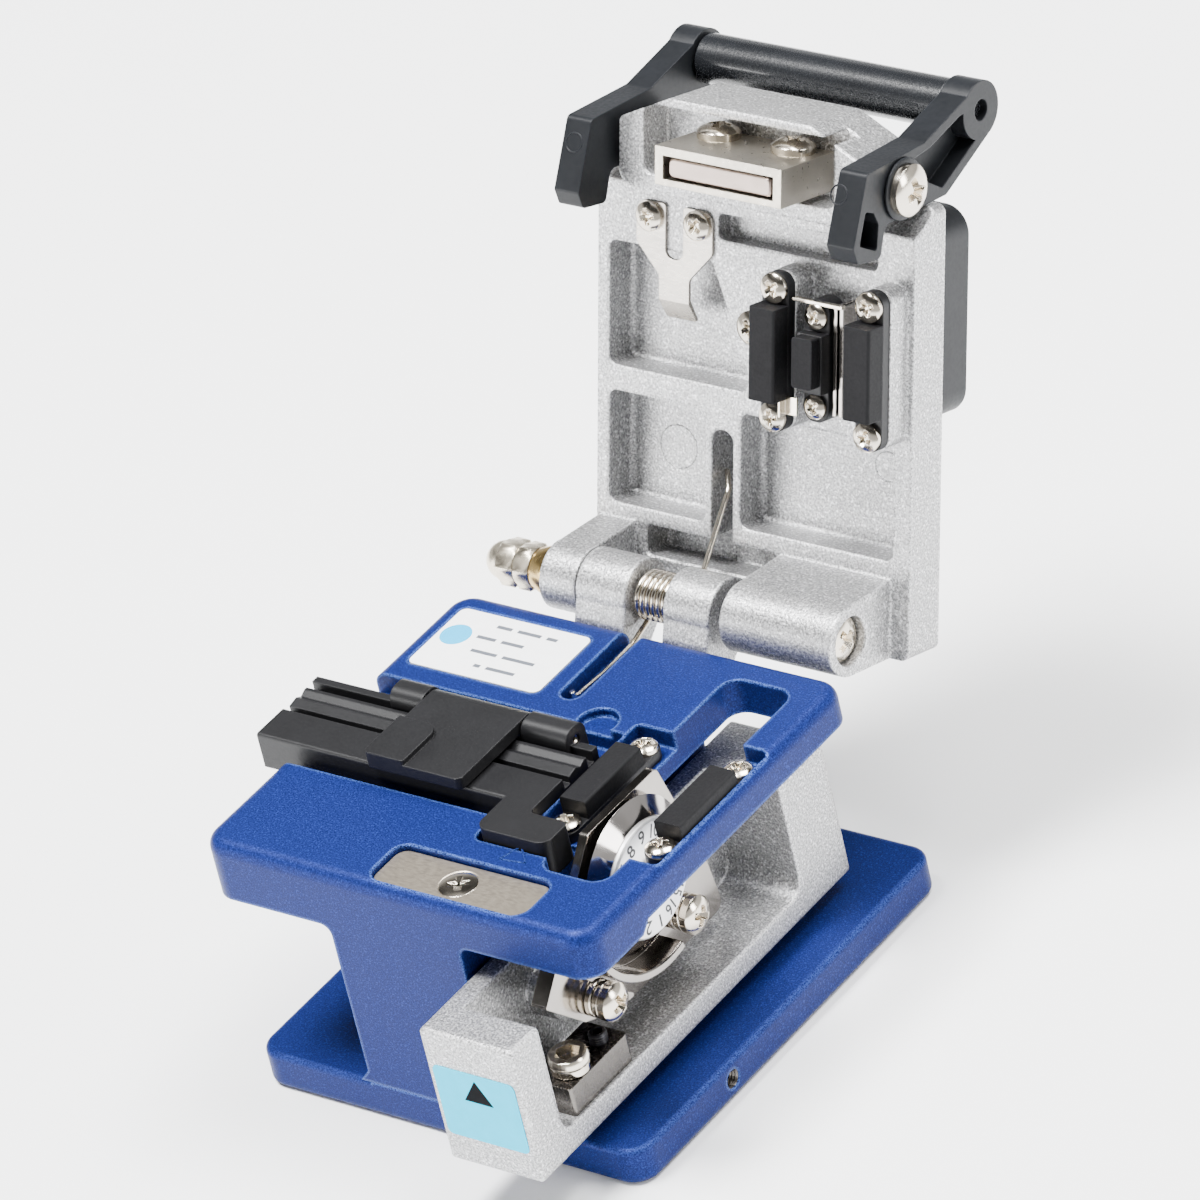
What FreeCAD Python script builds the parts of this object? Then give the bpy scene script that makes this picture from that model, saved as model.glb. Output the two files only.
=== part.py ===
import FreeCAD, Part
import math
import os
import re
import Sketcher

# Fibre cleaver: a lid that presses the fibre on four rubber pads, and a carriage that draws a round
# blade under it. X runs along the lid's hinge, Y to the back, Z up; the origin is the centre of the
# base's underside. The lid and the lever are drawn closed and turned open by their Placement.

doc = FreeCAD.newDocument("fibre_cleaver")
sizes = doc.addObject("Spreadsheet::Sheet", "sizes")

DRIVING = {
    # base, column and platform of the body casting
    "base_width": "58.9",
    "base_depth": "65",
    "base_thick": "5",
    "corner_radius": "3.3",
    "base_edge": "0.7",
    "column_left": "-11.1",
    "column_right": "9.1",
    "column_rear_gap": "14.5",
    "column_fillet": "1.5",
    "platform_under": "28.9",
    "bay_under": "31",
    "skirt_thick": "4.9",
    "platform_top": "37.3",
    "rear_step": "9.5",
    "platform_edge": "1.8",
    "side_hole_diameter": "2.5",
    "side_hole_y": "-13",
    "side_hole_depth": "6",
    # recesses of the platform
    "channel_front": "-15.5",
    "channel_rear": "4.2",
    "channel_floor": "34",
    "channel_right": "9.4",
    "slot_left": "15",
    "slot_right": "24.9",
    "slot_front": "-22.3",
    "slot_rear": "18.7",
    "pad_floor": "34.75",
    "label_left": "-26.9",
    "label_right": "-6.3",
    "label_front": "7.2",
    "label_rear": "19.8",
    "label_thick": "0.3",
    "steel_left": "-4.3",
    "steel_right": "19.2",
    "steel_edge_gap": "1.2",
    "steel_depth": "7.3",
    "steel_top": "36.5",
    "steel_thick": "1",
    "steel_screw_x": "7",
    "steel_screw_head": "5",
    "steel_screw_length": "3.5",
    "fit_gap": "0.2",
    "dimple_x": "4.5",
    "dimple_y": "5.1",
    "dimple_diameter": "5.5",
    "dimple_depth": "1.2",
    "groove_left": "-3.8",
    "groove_right": "-0.7",
    "groove_front": "7.8",
    "groove_depth": "2.5",
    # lower and upper rubber pads
    "pad_left_x": "12.4",
    "pad_right_x": "26.5",
    "pad_front": "-10.8",
    "pad_rear": "1",
    "pad_width": "3.9",
    "pad_screw_front": "-12.8",
    "pad_screw_rear": "3.5",
    "pad_base_thick": "1.45",
    "pad_face": "38.7",
    "pad_pinch": "0.12",
    "small_head": "3.8",
    "small_head_height": "1.1",
    "small_shank": "1.6",
    "shank_gap": "0.05",
    # fibre holder and its clamp
    "holder_left": "-34",
    "holder_right": "9.2",
    "holder_front": "-13.7",
    "holder_rear": "-1",
    "holder_top": "39",
    "lobe_left": "4.4",
    "lobe_right": "15.1",
    "lobe_front": "-20",
    "lobe_rear": "-15.2",
    "clamp_left": "-15.9",
    "clamp_right": "-1.2",
    "clamp_front": "-14.8",
    "clamp_thick": "1.6",
    "clamp_gap": "0.3",
    "tab_width": "6.2",
    "tab_depth": "7.8",
    "tab_rise": "0.7",
    "clamp_pin_y": "-0.8",
    "clamp_pin_diameter": "1.4",
    "knuckle_radius": "1.9",
    # carriage and its rail
    "slider_left": "9.6",
    "slider_right": "23.6",
    "slider_front": "-43.1",
    "slider_rear": "23",
    "slider_bottom": "7.1",
    "slider_top": "26.7",
    "slider_floor": "3.5",
    "slider_web": "3",
    "slider_front_wall": "5.4",
    "slider_rear_wall": "9.7",
    "slider_fillet": "2.5",
    "slider_edge": "0.6",
    "sticker_rise": "4.3",
    "sticker_height": "10.3",
    "sticker_thick": "0.15",
    "rail_depth": "6",
    "rail_middle_z": "18",
    "rail_height": "5",
    "rail_car_height": "11",
    "rail_car_length": "26",
    "rail_car_gap": "1.5",
    # blade and its arm
    "blade_y": "-10.4",
    "blade_z": "28.8",
    "blade_plane_x": "19.3",
    "blade_radius": "10",
    "dial_radius": "7.6",
    "dial_face_x": "21.6",
    "axle_radius": "1.5",
    "arm_x": "16.7",
    "arm_thick": "1.2",
    "guard_radius": "12.85",
    "guard_thick": "1.5",
    "guard_reach": "3.7",
    "arm_screw_a_y": "-23.8",
    "arm_screw_a_z": "19.65",
    "arm_screw_b_y": "-3.9",
    "arm_screw_b_z": "18",
    "arm_boss_radius": "3.2",
    "arm_head": "4.8",
    "arm_shank": "2.5",
    "stack_a": "3.3",
    "stack_b": "1.3",
    # height block on the carriage floor
    "block_left": "16.5",
    "block_right": "23",
    "block_front": "-34.3",
    "block_rear": "-22.3",
    "block_height": "4",
    "cap_screw_y": "-30.6",
    "grub_screw_y": "-24.8",
    # hinge
    "hinge_overhang": "5.7",
    "hinge_rise": "1.27",
    "open_angle": "109.5",
    "barrel_radius": "4.47",
    "hinge_shaft": "3",
    "hinge_gap": "0.3",
    "barrel_a_left": "-17.7",
    "barrel_b_left": "-12",
    "spring_left": "-4.2",
    "spring_right": "1.2",
    "barrel_c_right": "8.3",
    "barrel_d_left": "10",
    "barrel_d_right": "26.6",
    "spring_radius": "3.3",
    "spring_wire": "0.8",
    "leg_angle": "20",
    # lid casting, in the lid's closed frame: x, distance from the hinge, height over the hinge
    "lid_left": "-18.3",
    "lid_right": "29.46",
    "lid_tail": "4.3",
    "lid_rim": "8.2",
    "lid_back": "14.5",
    "lid_skin": "1.5",
    "pocket_round": "0.8",
    "lid_seat": "4.6",
    "head_left": "-12",
    "head_right": "24",
    "head_wall": "2",
    "head_nose": "4.2",
    "head_face": "4",
    "head_floor": "9",
    "cover_depth": "7.9",
    "cover_left": "-14",
    "cover_right": "27.5",
    "cover_rear": "23.5",
    "cover_front": "49.9",
    # magnet, leaf spring and anvil on the lid
    "magnet_left": "-2.2",
    "magnet_right": "16.7",
    "magnet_depth": "4.85",
    "magnet_inset": "2",
    "magnet_gap": "0.2",
    "magnet_head": "5.5",
    "lid_screw_x": "5.6",
    "lid_screw_v": "34.1",
    "leaf_thick": "0.4",
    "leaf_middle_x": "-6.35",
    "leaf_screw_v": "45.7",
    "anvil_x": "18.1",
    "anvil_rear": "25.3",
    "anvil_front": "40.7",
    "anvil_face": "0.8",
    "anvil_stroke": "0.8",
    # pry lever and roller
    "pivot_inset": "2.16",
    "pivot_w": "6.77",
    "lever_angle": "16.5",
    "arm_right_in": "24.4",
    "arm_right_out": "28.35",
    "arm_left_in": "-12.9",
    "arm_left_out": "-16.6",
    "sole_gap": "0.15",
    "roller_reach": "10.73",
    "roller_rise": "13.96",
    "roller_diameter": "6.5",
    "lever_hub": "3.7",
    "roller_shaft_diameter": "2.6",
    "pivot_shank": "3",
    "pivot_head": "6.5",
    "pivot_boss": "3.6",
    "lever_hollow": "2.4",
    "lever_notch": "13.2",
    "nut_corner": "3.18",
}

# Sizes that follow from the driving ones, so that the pieces keep together.
DERIVED = {
    "skirt_under": "platform_top - skirt_thick",
    "column_rear": "base_depth / 2 - column_rear_gap",
    "platform_rear": "base_depth / 2 - rear_step",
    "steel_front": "-base_depth / 2 + steel_edge_gap",
    "steel_rear": "steel_front + steel_depth",
    "rail_front": "-base_depth / 2 + 2",
    "rail_car_front": "rail_front + rail_car_gap",
    "hinge_y": "platform_rear + hinge_overhang",
    "hinge_z": "platform_top + hinge_rise",
    "magnet_front": "hinge_y - steel_front - magnet_inset",
    "magnet_rear": "magnet_front - magnet_depth",
    "head_front": "magnet_front + head_nose",
    "head_rear": "magnet_rear - 0.85 - head_wall",
    "lid_front": "head_rear + 2.1",
    "pivot_v": "magnet_front - pivot_inset",
}

for row, (name, number) in enumerate(DRIVING.items(), start=1):
    sizes.set("A%d" % row, name)
    sizes.set("B%d" % row, number)
    sizes.setAlias("B%d" % row, name)
for row, (name, formula) in enumerate(DERIVED.items(), start=len(DRIVING) + 1):
    sizes.set("A%d" % row, name)
    sizes.set("B%d" % row, "=" + formula)
    sizes.setAlias("B%d" % row, name)
    doc.recompute()
NAMES = {**DRIVING, **DERIVED}

# Frames that the pieces are drawn in: x, y, z of the origin and the turn about X.
BODY_FRAME = ("0", "0", "0", "0")
LID_FRAME = ("0", "hinge_y", "hinge_z", "-open_angle")
PIVOT_Y = "hinge_y - pivot_v * cos(open_angle * 1deg) + pivot_w * sin(open_angle * 1deg)"
PIVOT_Z = "hinge_z + pivot_v * sin(open_angle * 1deg) + pivot_w * cos(open_angle * 1deg)"
LEVER_FRAME = ("0", PIVOT_Y, PIVOT_Z, "-open_angle - lever_angle")

NODES = []
CUTS = []


def real(text):
    """Number that an expression of the sheet's names gives."""
    return float(sizes.evalExpression(str(text)))


def bound(text):
    """The same expression, read from another object than the sheet."""
    return re.sub(r"[a-z][a-z_]+", lambda word: "sizes." + word.group() if word.group() in NAMES
                  else word.group(), str(text))


def new_body(label, frame=BODY_FRAME):
    """PartDesign body that becomes one node, placed in one of the frames."""
    body = doc.addObject("PartDesign::Body", label)
    body.Label = label
    body.Placement.Rotation = FreeCAD.Rotation(FreeCAD.Vector(1, 0, 0), 1)
    for axis, text in zip("xyz", frame):
        body.setExpression(".Placement.Base." + axis, bound(text))
    body.setExpression(".Placement.Rotation.Angle", bound(frame[3]))
    NODES.append(body)
    return body


def new_sketch(body, role, x="0", y="0", along="0"):
    """Sketch on a plane of the body; along is measured on the plane's axis, X, Y or Z."""
    sketch = body.newObject("Sketcher::SketchObject", body.Name + "_profile")
    plane = next(item for item in body.Origin.OriginFeatures if item.Role == role)
    sketch.AttachmentSupport = [(plane, "")]
    sketch.MapMode = "FlatFace"
    height = "-(%s)" % along if role == "XZ_Plane" else along
    for axis, text in (("x", x), ("y", y), ("z", height)):
        sketch.setExpression("AttachmentOffset.Base." + axis, bound(text))
    return sketch


def hold(sketch, rules):
    """Add rules (kind, geometry and vertices, size) in one go and tie the sizes to the sheet."""
    parts = [Sketcher.Constraint(rule[0], *rule[1]) if len(rule) == 2
             else Sketcher.Constraint(rule[0], *rule[1], real(rule[2])) for rule in rules]
    for index, rule in zip(sketch.addConstraint(parts), rules):
        if len(rule) == 3 and any(name in NAMES for name in re.findall(r"[a-z][a-z_]+", rule[2])):
            sketch.setExpression("Constraints[%d]" % index, bound(rule[2]))


def point_rules(geometry, vertex, corner):
    """Both distances of a point from the sketch's origin."""
    return [("DistanceX", (-1, 1, geometry, vertex), corner[0]),
            ("DistanceY", (-1, 1, geometry, vertex), corner[1])]


def corner_arc(before, spot, after, radius):
    """Arc that rounds a corner, with its ends on the two legs in the order of the run."""
    inward = (before - spot).normalize()
    onward = (after - spot).normalize()
    half = inward.getAngle(onward) / 2
    middle = spot + (inward + onward).normalize() * (radius / math.sin(half))
    ends = [spot + leg * (radius / math.tan(half)) for leg in (inward, onward)]
    angles = [math.atan2(end.y - middle.y, end.x - middle.x) for end in ends]
    convex = inward.cross(onward).z < 0
    first, last = angles if convex else angles[::-1]
    circle = Part.Circle(middle, FreeCAD.Vector(0, 0, 1), radius)
    return ends, Part.ArcOfCircle(circle, first, last), convex


def outline(sketch, corners):
    """Closed run of lines, anticlockwise; a corner with a third value is rounded with that radius."""
    spots = [FreeCAD.Vector(real(corner[0]), real(corner[1]), 0) for corner in corners]
    count = len(corners)
    turns = sum(spots[index - 1].cross(spots[index]).z for index in range(count))
    if turns < 0:
        spots = spots[::-1]
        corners = corners[::-1]
    starts = list(spots)
    ends = list(spots)
    extras = []
    rules = []
    for index, corner in enumerate(corners):
        before = (index - 1) % count
        if len(corner) == 2:
            rules.append(("Coincident", (before, 2, index, 1)))
            rules += point_rules(index, 1, corner)
            continue
        following = spots[(index + 1) % count]
        legs, curve, convex = corner_arc(spots[before], spots[index], following, real(corner[2]))
        ends[index], starts[index] = legs
        arc = count + len(extras)
        extras += [(curve, False), (Part.Point(spots[index]), True)]
        first, last = (1, 2) if convex else (2, 1)
        rules += [("Tangent", (before, 2, arc, first)), ("Tangent", (arc, last, index, 1)),
                  ("Radius", (arc,), corner[2]), ("PointOnObject", (arc + 1, 1, before)),
                  ("PointOnObject", (arc + 1, 1, index))]
        rules += point_rules(arc + 1, 1, corner)
    for index in range(count):
        sketch.addGeometry(Part.LineSegment(starts[index], ends[(index + 1) % count]))
    for curve, construction in extras:
        sketch.addGeometry(curve, construction)
    hold(sketch, rules)


def rectangle(left, low, right, high, radius=None):
    """Corners of an upright rectangle."""
    corners = [(left, low), (right, low), (right, high), (left, high)]
    return [corner + (radius,) for corner in corners] if radius else corners


def ring(sketch, x, y, diameter):
    """Circle of a sketch, held by its centre and diameter."""
    spot = FreeCAD.Vector(real(x), real(y), 0)
    circle = sketch.addGeometry(Part.Circle(spot, FreeCAD.Vector(0, 0, 1), real(diameter) / 2))
    hold(sketch, point_rules(circle, 3, (x, y)) + [("Diameter", (circle,), diameter)])


def extrude(body, kind, sketch, low, high):
    """Pad or pocket from the low to the high side of the sketch's axis."""
    feature = body.newObject("PartDesign::" + kind, body.Name + "_" + kind.lower())
    feature.Profile = sketch
    feature.setExpression("Length", bound("(%s) - (%s)" % (high, low)))
    if kind == "Pocket":
        feature.Reversed = True
        CUTS.append(feature)
    return feature


def start_side(role, low, high):
    """Side that an extrusion starts from: the XZ plane looks to -Y."""
    return high if role == "XZ_Plane" else low


def pad(body, role, low, high, corners):
    """Prism between two heights on the plane's axis."""
    sketch = new_sketch(body, role, along=start_side(role, low, high))
    outline(sketch, corners)
    return extrude(body, "Pad", sketch, low, high)


def cut(body, role, low, high, corners):
    """Recess between two heights on the plane's axis."""
    sketch = new_sketch(body, role, along=start_side(role, low, high))
    outline(sketch, corners)
    return extrude(body, "Pocket", sketch, low, high)


def boss(body, role, low, high, x, y, diameter):
    """Round post between two heights on the plane's axis."""
    sketch = new_sketch(body, role, along=start_side(role, low, high))
    ring(sketch, x, y, diameter)
    return extrude(body, "Pad", sketch, low, high)


def bore(body, role, low, high, x, y, diameter):
    """Round hole between two heights on the plane's axis."""
    sketch = new_sketch(body, role, along=start_side(role, low, high))
    ring(sketch, x, y, diameter)
    return extrude(body, "Pocket", sketch, low, high)


def turn(body, place, profile, axis="V_Axis", kind="Revolution"):
    """Turned shape: the profile lies in the XZ plane through the place, about its V (Z) or H (X) axis."""
    sketch = new_sketch(body, "XZ_Plane", x=place[0], y=place[2], along=place[1])
    outline(sketch, profile)
    feature = body.newObject("PartDesign::" + kind, body.Name + "_" + kind.lower())
    feature.Profile = sketch
    feature.ReferenceAxis = (sketch, [axis])
    feature.Angle = 360
    return feature


def round_edges(body, radius, wanted, kind="Fillet"):
    """Fillet or chamfer of the edges whose bounding box and curve pass the wanted test."""
    doc.recompute()
    tip = body.Tip
    chosen = []
    for index, edge in enumerate(tip.Shape.Edges, start=1):
        if wanted(edge):
            chosen.append("Edge%d" % index)
    feature = body.newObject("PartDesign::" + kind, body.Name + "_" + kind.lower())
    feature.Base = (tip, chosen)
    feature.setExpression("Radius" if kind == "Fillet" else "Size", bound(radius))
    return feature


def level(edge, height):
    """Edge that lies whole at one height."""
    box = edge.BoundBox
    return abs(box.ZMin - height) < 1e-4 and abs(box.ZMax - height) < 1e-4


def screw(body, place, head, height, shank, length, axis="V_Axis", facing=1):
    """Pan-head screw seated at the place, its head to the positive side, or the negative with facing -1."""
    side = "%d * " % facing
    radial = [("0", "-(%s)" % length), (shank + " / 2", "-(%s)" % length), (shank + " / 2", "0"),
              (head + " / 2", "0"), (head + " / 2", height + " * 0.55"), (head + " * 0.3", height),
              ("0", height)]
    profile = [(across, side + "(%s)" % along) for across, along in radial]
    if axis == "H_Axis":
        profile = [(along, across) for across, along in profile]
    return turn(body, place, profile, axis)


def arc_corners(middle_y, middle_z, radius, start, stop, steps):
    """Points of an arc, worked out from its radius and angles, for a profile in the YZ plane."""
    angles = [start + (stop - start) * step / steps for step in range(steps + 1)]
    return [("%s + %s * cos(%.3f deg)" % (middle_y, radius, angle),
             "%s + %s * sin(%.3f deg)" % (middle_z, radius, angle)) for angle in angles]


def base_plate():
    """Foot plate under the column, with the threaded hole in its right side."""
    body = new_body("base_plate")
    half = "base_width / 2"
    front = "-base_depth / 2"
    pad(body, "XY_Plane", "0", "base_thick",
        rectangle("-" + half, front, half, "base_depth / 2", "corner_radius"))
    round_edges(body, "base_edge", lambda edge: level(edge, real("base_thick")) or level(edge, 0))
    pad(body, "XY_Plane", "base_thick - base_edge - 0.1", "base_thick",
        rectangle("column_left", front, "column_right", front + " + 2 * base_edge"))
    bore(body, "YZ_Plane", half + " - side_hole_depth", half + " + 1", "side_hole_y",
         "base_thick / 2", "side_hole_diameter")


def body_casting():
    """Painted casting: column and platform with the recesses for everything it carries."""
    body = new_body("body_casting")
    half = "base_width / 2"
    front = "-base_depth / 2"
    pad(body, "XY_Plane", "platform_under", "platform_top",
        rectangle("-" + half, front, half, "platform_rear", "corner_radius"))
    round_edges(body, "platform_edge", lambda edge: level(edge, real("platform_top")))
    cut(body, "YZ_Plane", "column_right", half + " + 1", [
        (front + " - 1", "platform_under - 1"), (front + " - 1", "bay_under"),
        ("slot_front", "bay_under"), ("slot_front + 1.5", "skirt_under"),
        ("platform_rear + 1", "skirt_under"), ("platform_rear + 1", "platform_under - 1")])
    flare = "column_fillet * 1.5"
    pad(body, "XZ_Plane", front, "column_rear", [
        ("column_left - column_fillet", "base_thick"), ("column_left", "base_thick + column_fillet * 1.2"),
        ("column_left", "platform_under", "column_fillet"),
        ("column_left - " + flare, "platform_under"), ("column_left - " + flare, "platform_under + 1"),
        ("column_right + " + flare, "bay_under + 2"), ("column_right + " + flare, "bay_under"),
        ("column_right", "bay_under", "column_fillet"), ("column_right", "base_thick")])
    channel = rectangle("-%s - 1" % half, "channel_front", "channel_right", "channel_rear", "0.8")
    cut(body, "XY_Plane", "channel_floor", "platform_top + 1", channel)
    cut(body, "XY_Plane", "channel_floor", "platform_top + 1",
        rectangle("lobe_left - 0.5", "lobe_front - 0.3", "slot_left + 1", "channel_front + 1", "1.2"))
    cut(body, "XY_Plane", "platform_under", "platform_top + 1",
        rectangle("slot_left", "slot_front", "slot_right", "slot_rear", "2.4"))
    cut(body, "XY_Plane", "pad_floor", "platform_top + 1",
        rectangle("pad_left_x - pad_width / 2 - 0.9", "pad_screw_front - 2.7", "slot_left + 1",
                  "pad_screw_rear + 3", "0.9"))
    cut(body, "XY_Plane", "pad_floor", "platform_top + 1",
        rectangle("slot_right - 1", "pad_screw_front - 4", "pad_right_x + pad_width / 2 + fit_gap",
                  "pad_screw_rear + 3.8", "0.9"))
    cut(body, "XY_Plane", "platform_top - label_thick", "platform_top + 1",
        rectangle("label_left", "label_front", "label_right", "label_rear", "1.2"))
    cut(body, "XY_Plane", "steel_top - steel_thick", "platform_top + 1",
        rectangle("steel_left", "steel_front", "steel_right", "steel_rear", "2"))
    bore(body, "XY_Plane", "platform_top - dimple_depth", "platform_top + 1", "dimple_x", "dimple_y",
         "dimple_diameter")
    cut(body, "XY_Plane", "platform_top - groove_depth", "platform_top + 1",
        rectangle("groove_left", "groove_front", "groove_right", "platform_rear + 3", "1.5"))
    rail_half = "rail_car_height / 2 + 0.3"
    cut(body, "XZ_Plane", "rail_front", "column_rear + 1", rectangle(
        "column_right - rail_depth", "rail_middle_z - (%s)" % rail_half, "column_right + 3",
        "rail_middle_z + " + rail_half))
    for x in ("pad_left_x", "pad_right_x"):
        for y in ("pad_screw_front", "pad_screw_rear"):
            bore(body, "XY_Plane", "pad_floor - 2.2", "pad_floor + 0.5", x, y,
                 "small_shank + 2 * shank_gap")
    bore(body, "XY_Plane", "steel_top - steel_thick - 3", "platform_top", "steel_screw_x",
         "(steel_front + steel_rear) / 2", "small_shank + 2 * shank_gap")
    return body


def hinge_bracket():
    """Silver casting on the rear of the platform: two knuckles on a flange."""
    body = new_body("hinge_bracket")
    knuckles = (("barrel_b_left", "spring_left - hinge_gap"), ("spring_right + hinge_gap", "barrel_c_right"))
    pad(body, "YZ_Plane", "barrel_b_left", "barrel_c_right",
        rectangle("platform_rear", "platform_under + 0.5", "platform_rear + 2.4", "platform_top - 3.6", "0.6"))
    for left, right in knuckles:
        boss(body, "YZ_Plane", left, right, "hinge_y", "hinge_z", "2 * barrel_radius")
        pad(body, "YZ_Plane", left, right, [
            ("platform_rear", "platform_under + 1.5"), ("platform_rear + 2.4", "platform_under + 1.5"),
            ("hinge_y + barrel_radius * 0.6", "hinge_z - barrel_radius * 0.8"),
            ("hinge_y", "hinge_z + barrel_radius * 0.3"),
            ("hinge_y - barrel_radius * 0.9", "hinge_z + barrel_radius * 0.3"),
            ("platform_rear", "platform_top - 0.9")])
    bore(body, "YZ_Plane", "barrel_b_left - 1", "barrel_c_right + 1", "hinge_y", "hinge_z",
         "hinge_shaft + 2 * shank_gap")
    return body


def platform_plates():
    """Label plate, and the steel plate that the magnet pulls on, with its countersunk screw."""
    label = new_body("label_plate")
    pad(label, "XY_Plane", "platform_top - label_thick", "platform_top",
        rectangle("label_left + fit_gap", "label_front + fit_gap", "label_right - fit_gap",
                  "label_rear - fit_gap", "1"))
    plate = new_body("steel_plate")
    pad(plate, "XY_Plane", "steel_top - steel_thick", "steel_top",
        rectangle("steel_left + fit_gap", "steel_front + fit_gap", "steel_right - fit_gap",
                  "steel_rear - fit_gap", "1.6"))
    middle = "(steel_front + steel_rear) / 2"
    rim = "steel_screw_head / 2"
    hole = "small_shank / 2 + shank_gap"
    sink = [("0", "0.1"), (rim + " + 0.1", "0.1"), (rim + " + 0.1", "0"), (hole, "-steel_thick"),
            (hole, "-steel_thick - 1"), ("0", "-steel_thick - 1")]
    CUTS.append(turn(plate, ("steel_screw_x", middle, "steel_top"), sink, kind="Groove"))
    fastener = new_body("steel_plate_screw")
    turn(fastener, ("steel_screw_x", middle, "steel_top"), [
        ("0", "0"), (rim, "0"), ("small_shank / 2", "-steel_thick"),
        ("small_shank / 2", "-steel_screw_length"), ("0", "-steel_screw_length")])


def pad_set(side, x):
    """Lower pad: base with two ears, rubber and two screws."""
    half = "pad_width / 2"
    base = new_body("lower_pad_base_" + side)
    top = "pad_floor + pad_base_thick"
    pad(base, "XY_Plane", "pad_floor", top,
        rectangle("%s - %s" % (x, half), "pad_screw_front - 1.9", "%s + %s" % (x, half),
                  "pad_screw_rear + 1.9", "1.7"))
    rubber = new_body("lower_rubber_" + side)
    pad(rubber, "XZ_Plane", "pad_front", "pad_rear", [
        ("%s - %s" % (x, half), top), ("%s + %s" % (x, half), top),
        ("%s + %s" % (x, half), "pad_face", "0.35"), ("%s - %s" % (x, half), "pad_face", "0.35")])
    fastener = new_body("lower_pad_screws_" + side)
    for y in ("pad_screw_front", "pad_screw_rear"):
        bore(base, "XY_Plane", "pad_floor - 1", top + " + 1", x, y, "small_shank + 2 * shank_gap")
        screw(fastener, (x, y, top), "small_head", "small_head_height", "small_shank",
              "pad_base_thick + 2")


def holder():
    """Fibre holder in the platform's channel: ridged bar with a lobe and two hinge blocks."""
    body = new_body("fibre_holder")
    floor = "channel_floor"
    pad(body, "YZ_Plane", "holder_left", "holder_right", [
        ("holder_front", floor), ("holder_front", "holder_top", "0.4"), ("holder_front + 5.5", "holder_top"),
        ("holder_front + 5.5", "holder_top - 1.4"), ("holder_front + 6.7", "holder_top - 1.4"),
        ("holder_front + 6.7", "holder_top - 0.4"), ("holder_front + 8.2", "holder_top - 0.1"),
        ("holder_front + 9.05", "holder_top - 0.55"), ("holder_front + 9.9", "holder_top - 0.1"),
        ("holder_front + 10.4", "holder_top - 0.1"), ("holder_front + 10.4", "holder_top - 1.6"),
        ("holder_rear - 1.1", "holder_top - 1.6"), ("holder_rear - 1.1", "holder_top"),
        ("holder_rear", "holder_top"), ("holder_rear", floor)])
    pad(body, "XY_Plane", floor, "holder_top", [
        ("lobe_left", "lobe_rear + 3"), ("lobe_left", "lobe_front", "1.6"),
        ("lobe_right", "lobe_front", "1.6"), ("lobe_right", "lobe_rear", "0.8"),
        ("holder_right", "lobe_rear", "0.8"), ("holder_right", "lobe_rear + 3")])
    cut(body, "YZ_Plane", "clamp_left - 0.3", "clamp_right + 0.3", [
        ("clamp_pin_y - knuckle_radius - 0.3", "holder_top - knuckle_radius - 0.3"),
        ("holder_rear + 1", "holder_top - knuckle_radius - 0.3"), ("holder_rear + 1", "holder_top + 1"),
        ("clamp_pin_y - knuckle_radius - 0.3", "holder_top + 1")])
    blocks = (("clamp_left - 5.2", "clamp_left - 0.3"), ("clamp_right + 0.3", "clamp_right + 7.2"))
    for left, right in blocks:
        pad(body, "YZ_Plane", left, right, [
            ("clamp_pin_y - 2", floor), ("clamp_pin_y - 2", "holder_top + 2", "1.6"),
            ("clamp_pin_y + 2", "holder_top + 2", "1.6"), ("clamp_pin_y + 2", floor)])
    bore(body, "YZ_Plane", "clamp_left - 4", "clamp_right + 8", "clamp_pin_y", "holder_top",
         "clamp_pin_diameter + 2 * shank_gap")
    pin = new_body("holder_hinge_pin")
    boss(pin, "YZ_Plane", "clamp_left - 3.9", "clamp_right + 7", "clamp_pin_y", "holder_top",
         "clamp_pin_diameter")


def holder_clamp():
    """Clamp lid of the holder, hinged at its rear, with a thumb tab at the front left."""
    body = new_body("holder_clamp")
    low = "holder_top + clamp_gap"
    pad(body, "XY_Plane", low, low + " + clamp_thick", [
        ("clamp_left", "clamp_pin_y", "0.6"), ("clamp_left", "clamp_front", "0.8"),
        ("clamp_right", "clamp_front", "0.8"), ("clamp_right", "clamp_pin_y", "0.6")])
    boss(body, "YZ_Plane", "clamp_left", "clamp_right", "clamp_pin_y", "holder_top", "2 * knuckle_radius")
    bore(body, "YZ_Plane", "clamp_left - 1", "clamp_right + 1", "clamp_pin_y", "holder_top",
         "clamp_pin_diameter + 2 * shank_gap")
    pad(body, "XY_Plane", low, low + " + clamp_thick + tab_rise", [
        ("clamp_left", "clamp_front", "0.8"), ("clamp_left + tab_width", "clamp_front", "0.4"),
        ("clamp_left + tab_width", "clamp_front + tab_depth", "2"),
        ("clamp_left", "clamp_front + tab_depth")])


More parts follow.
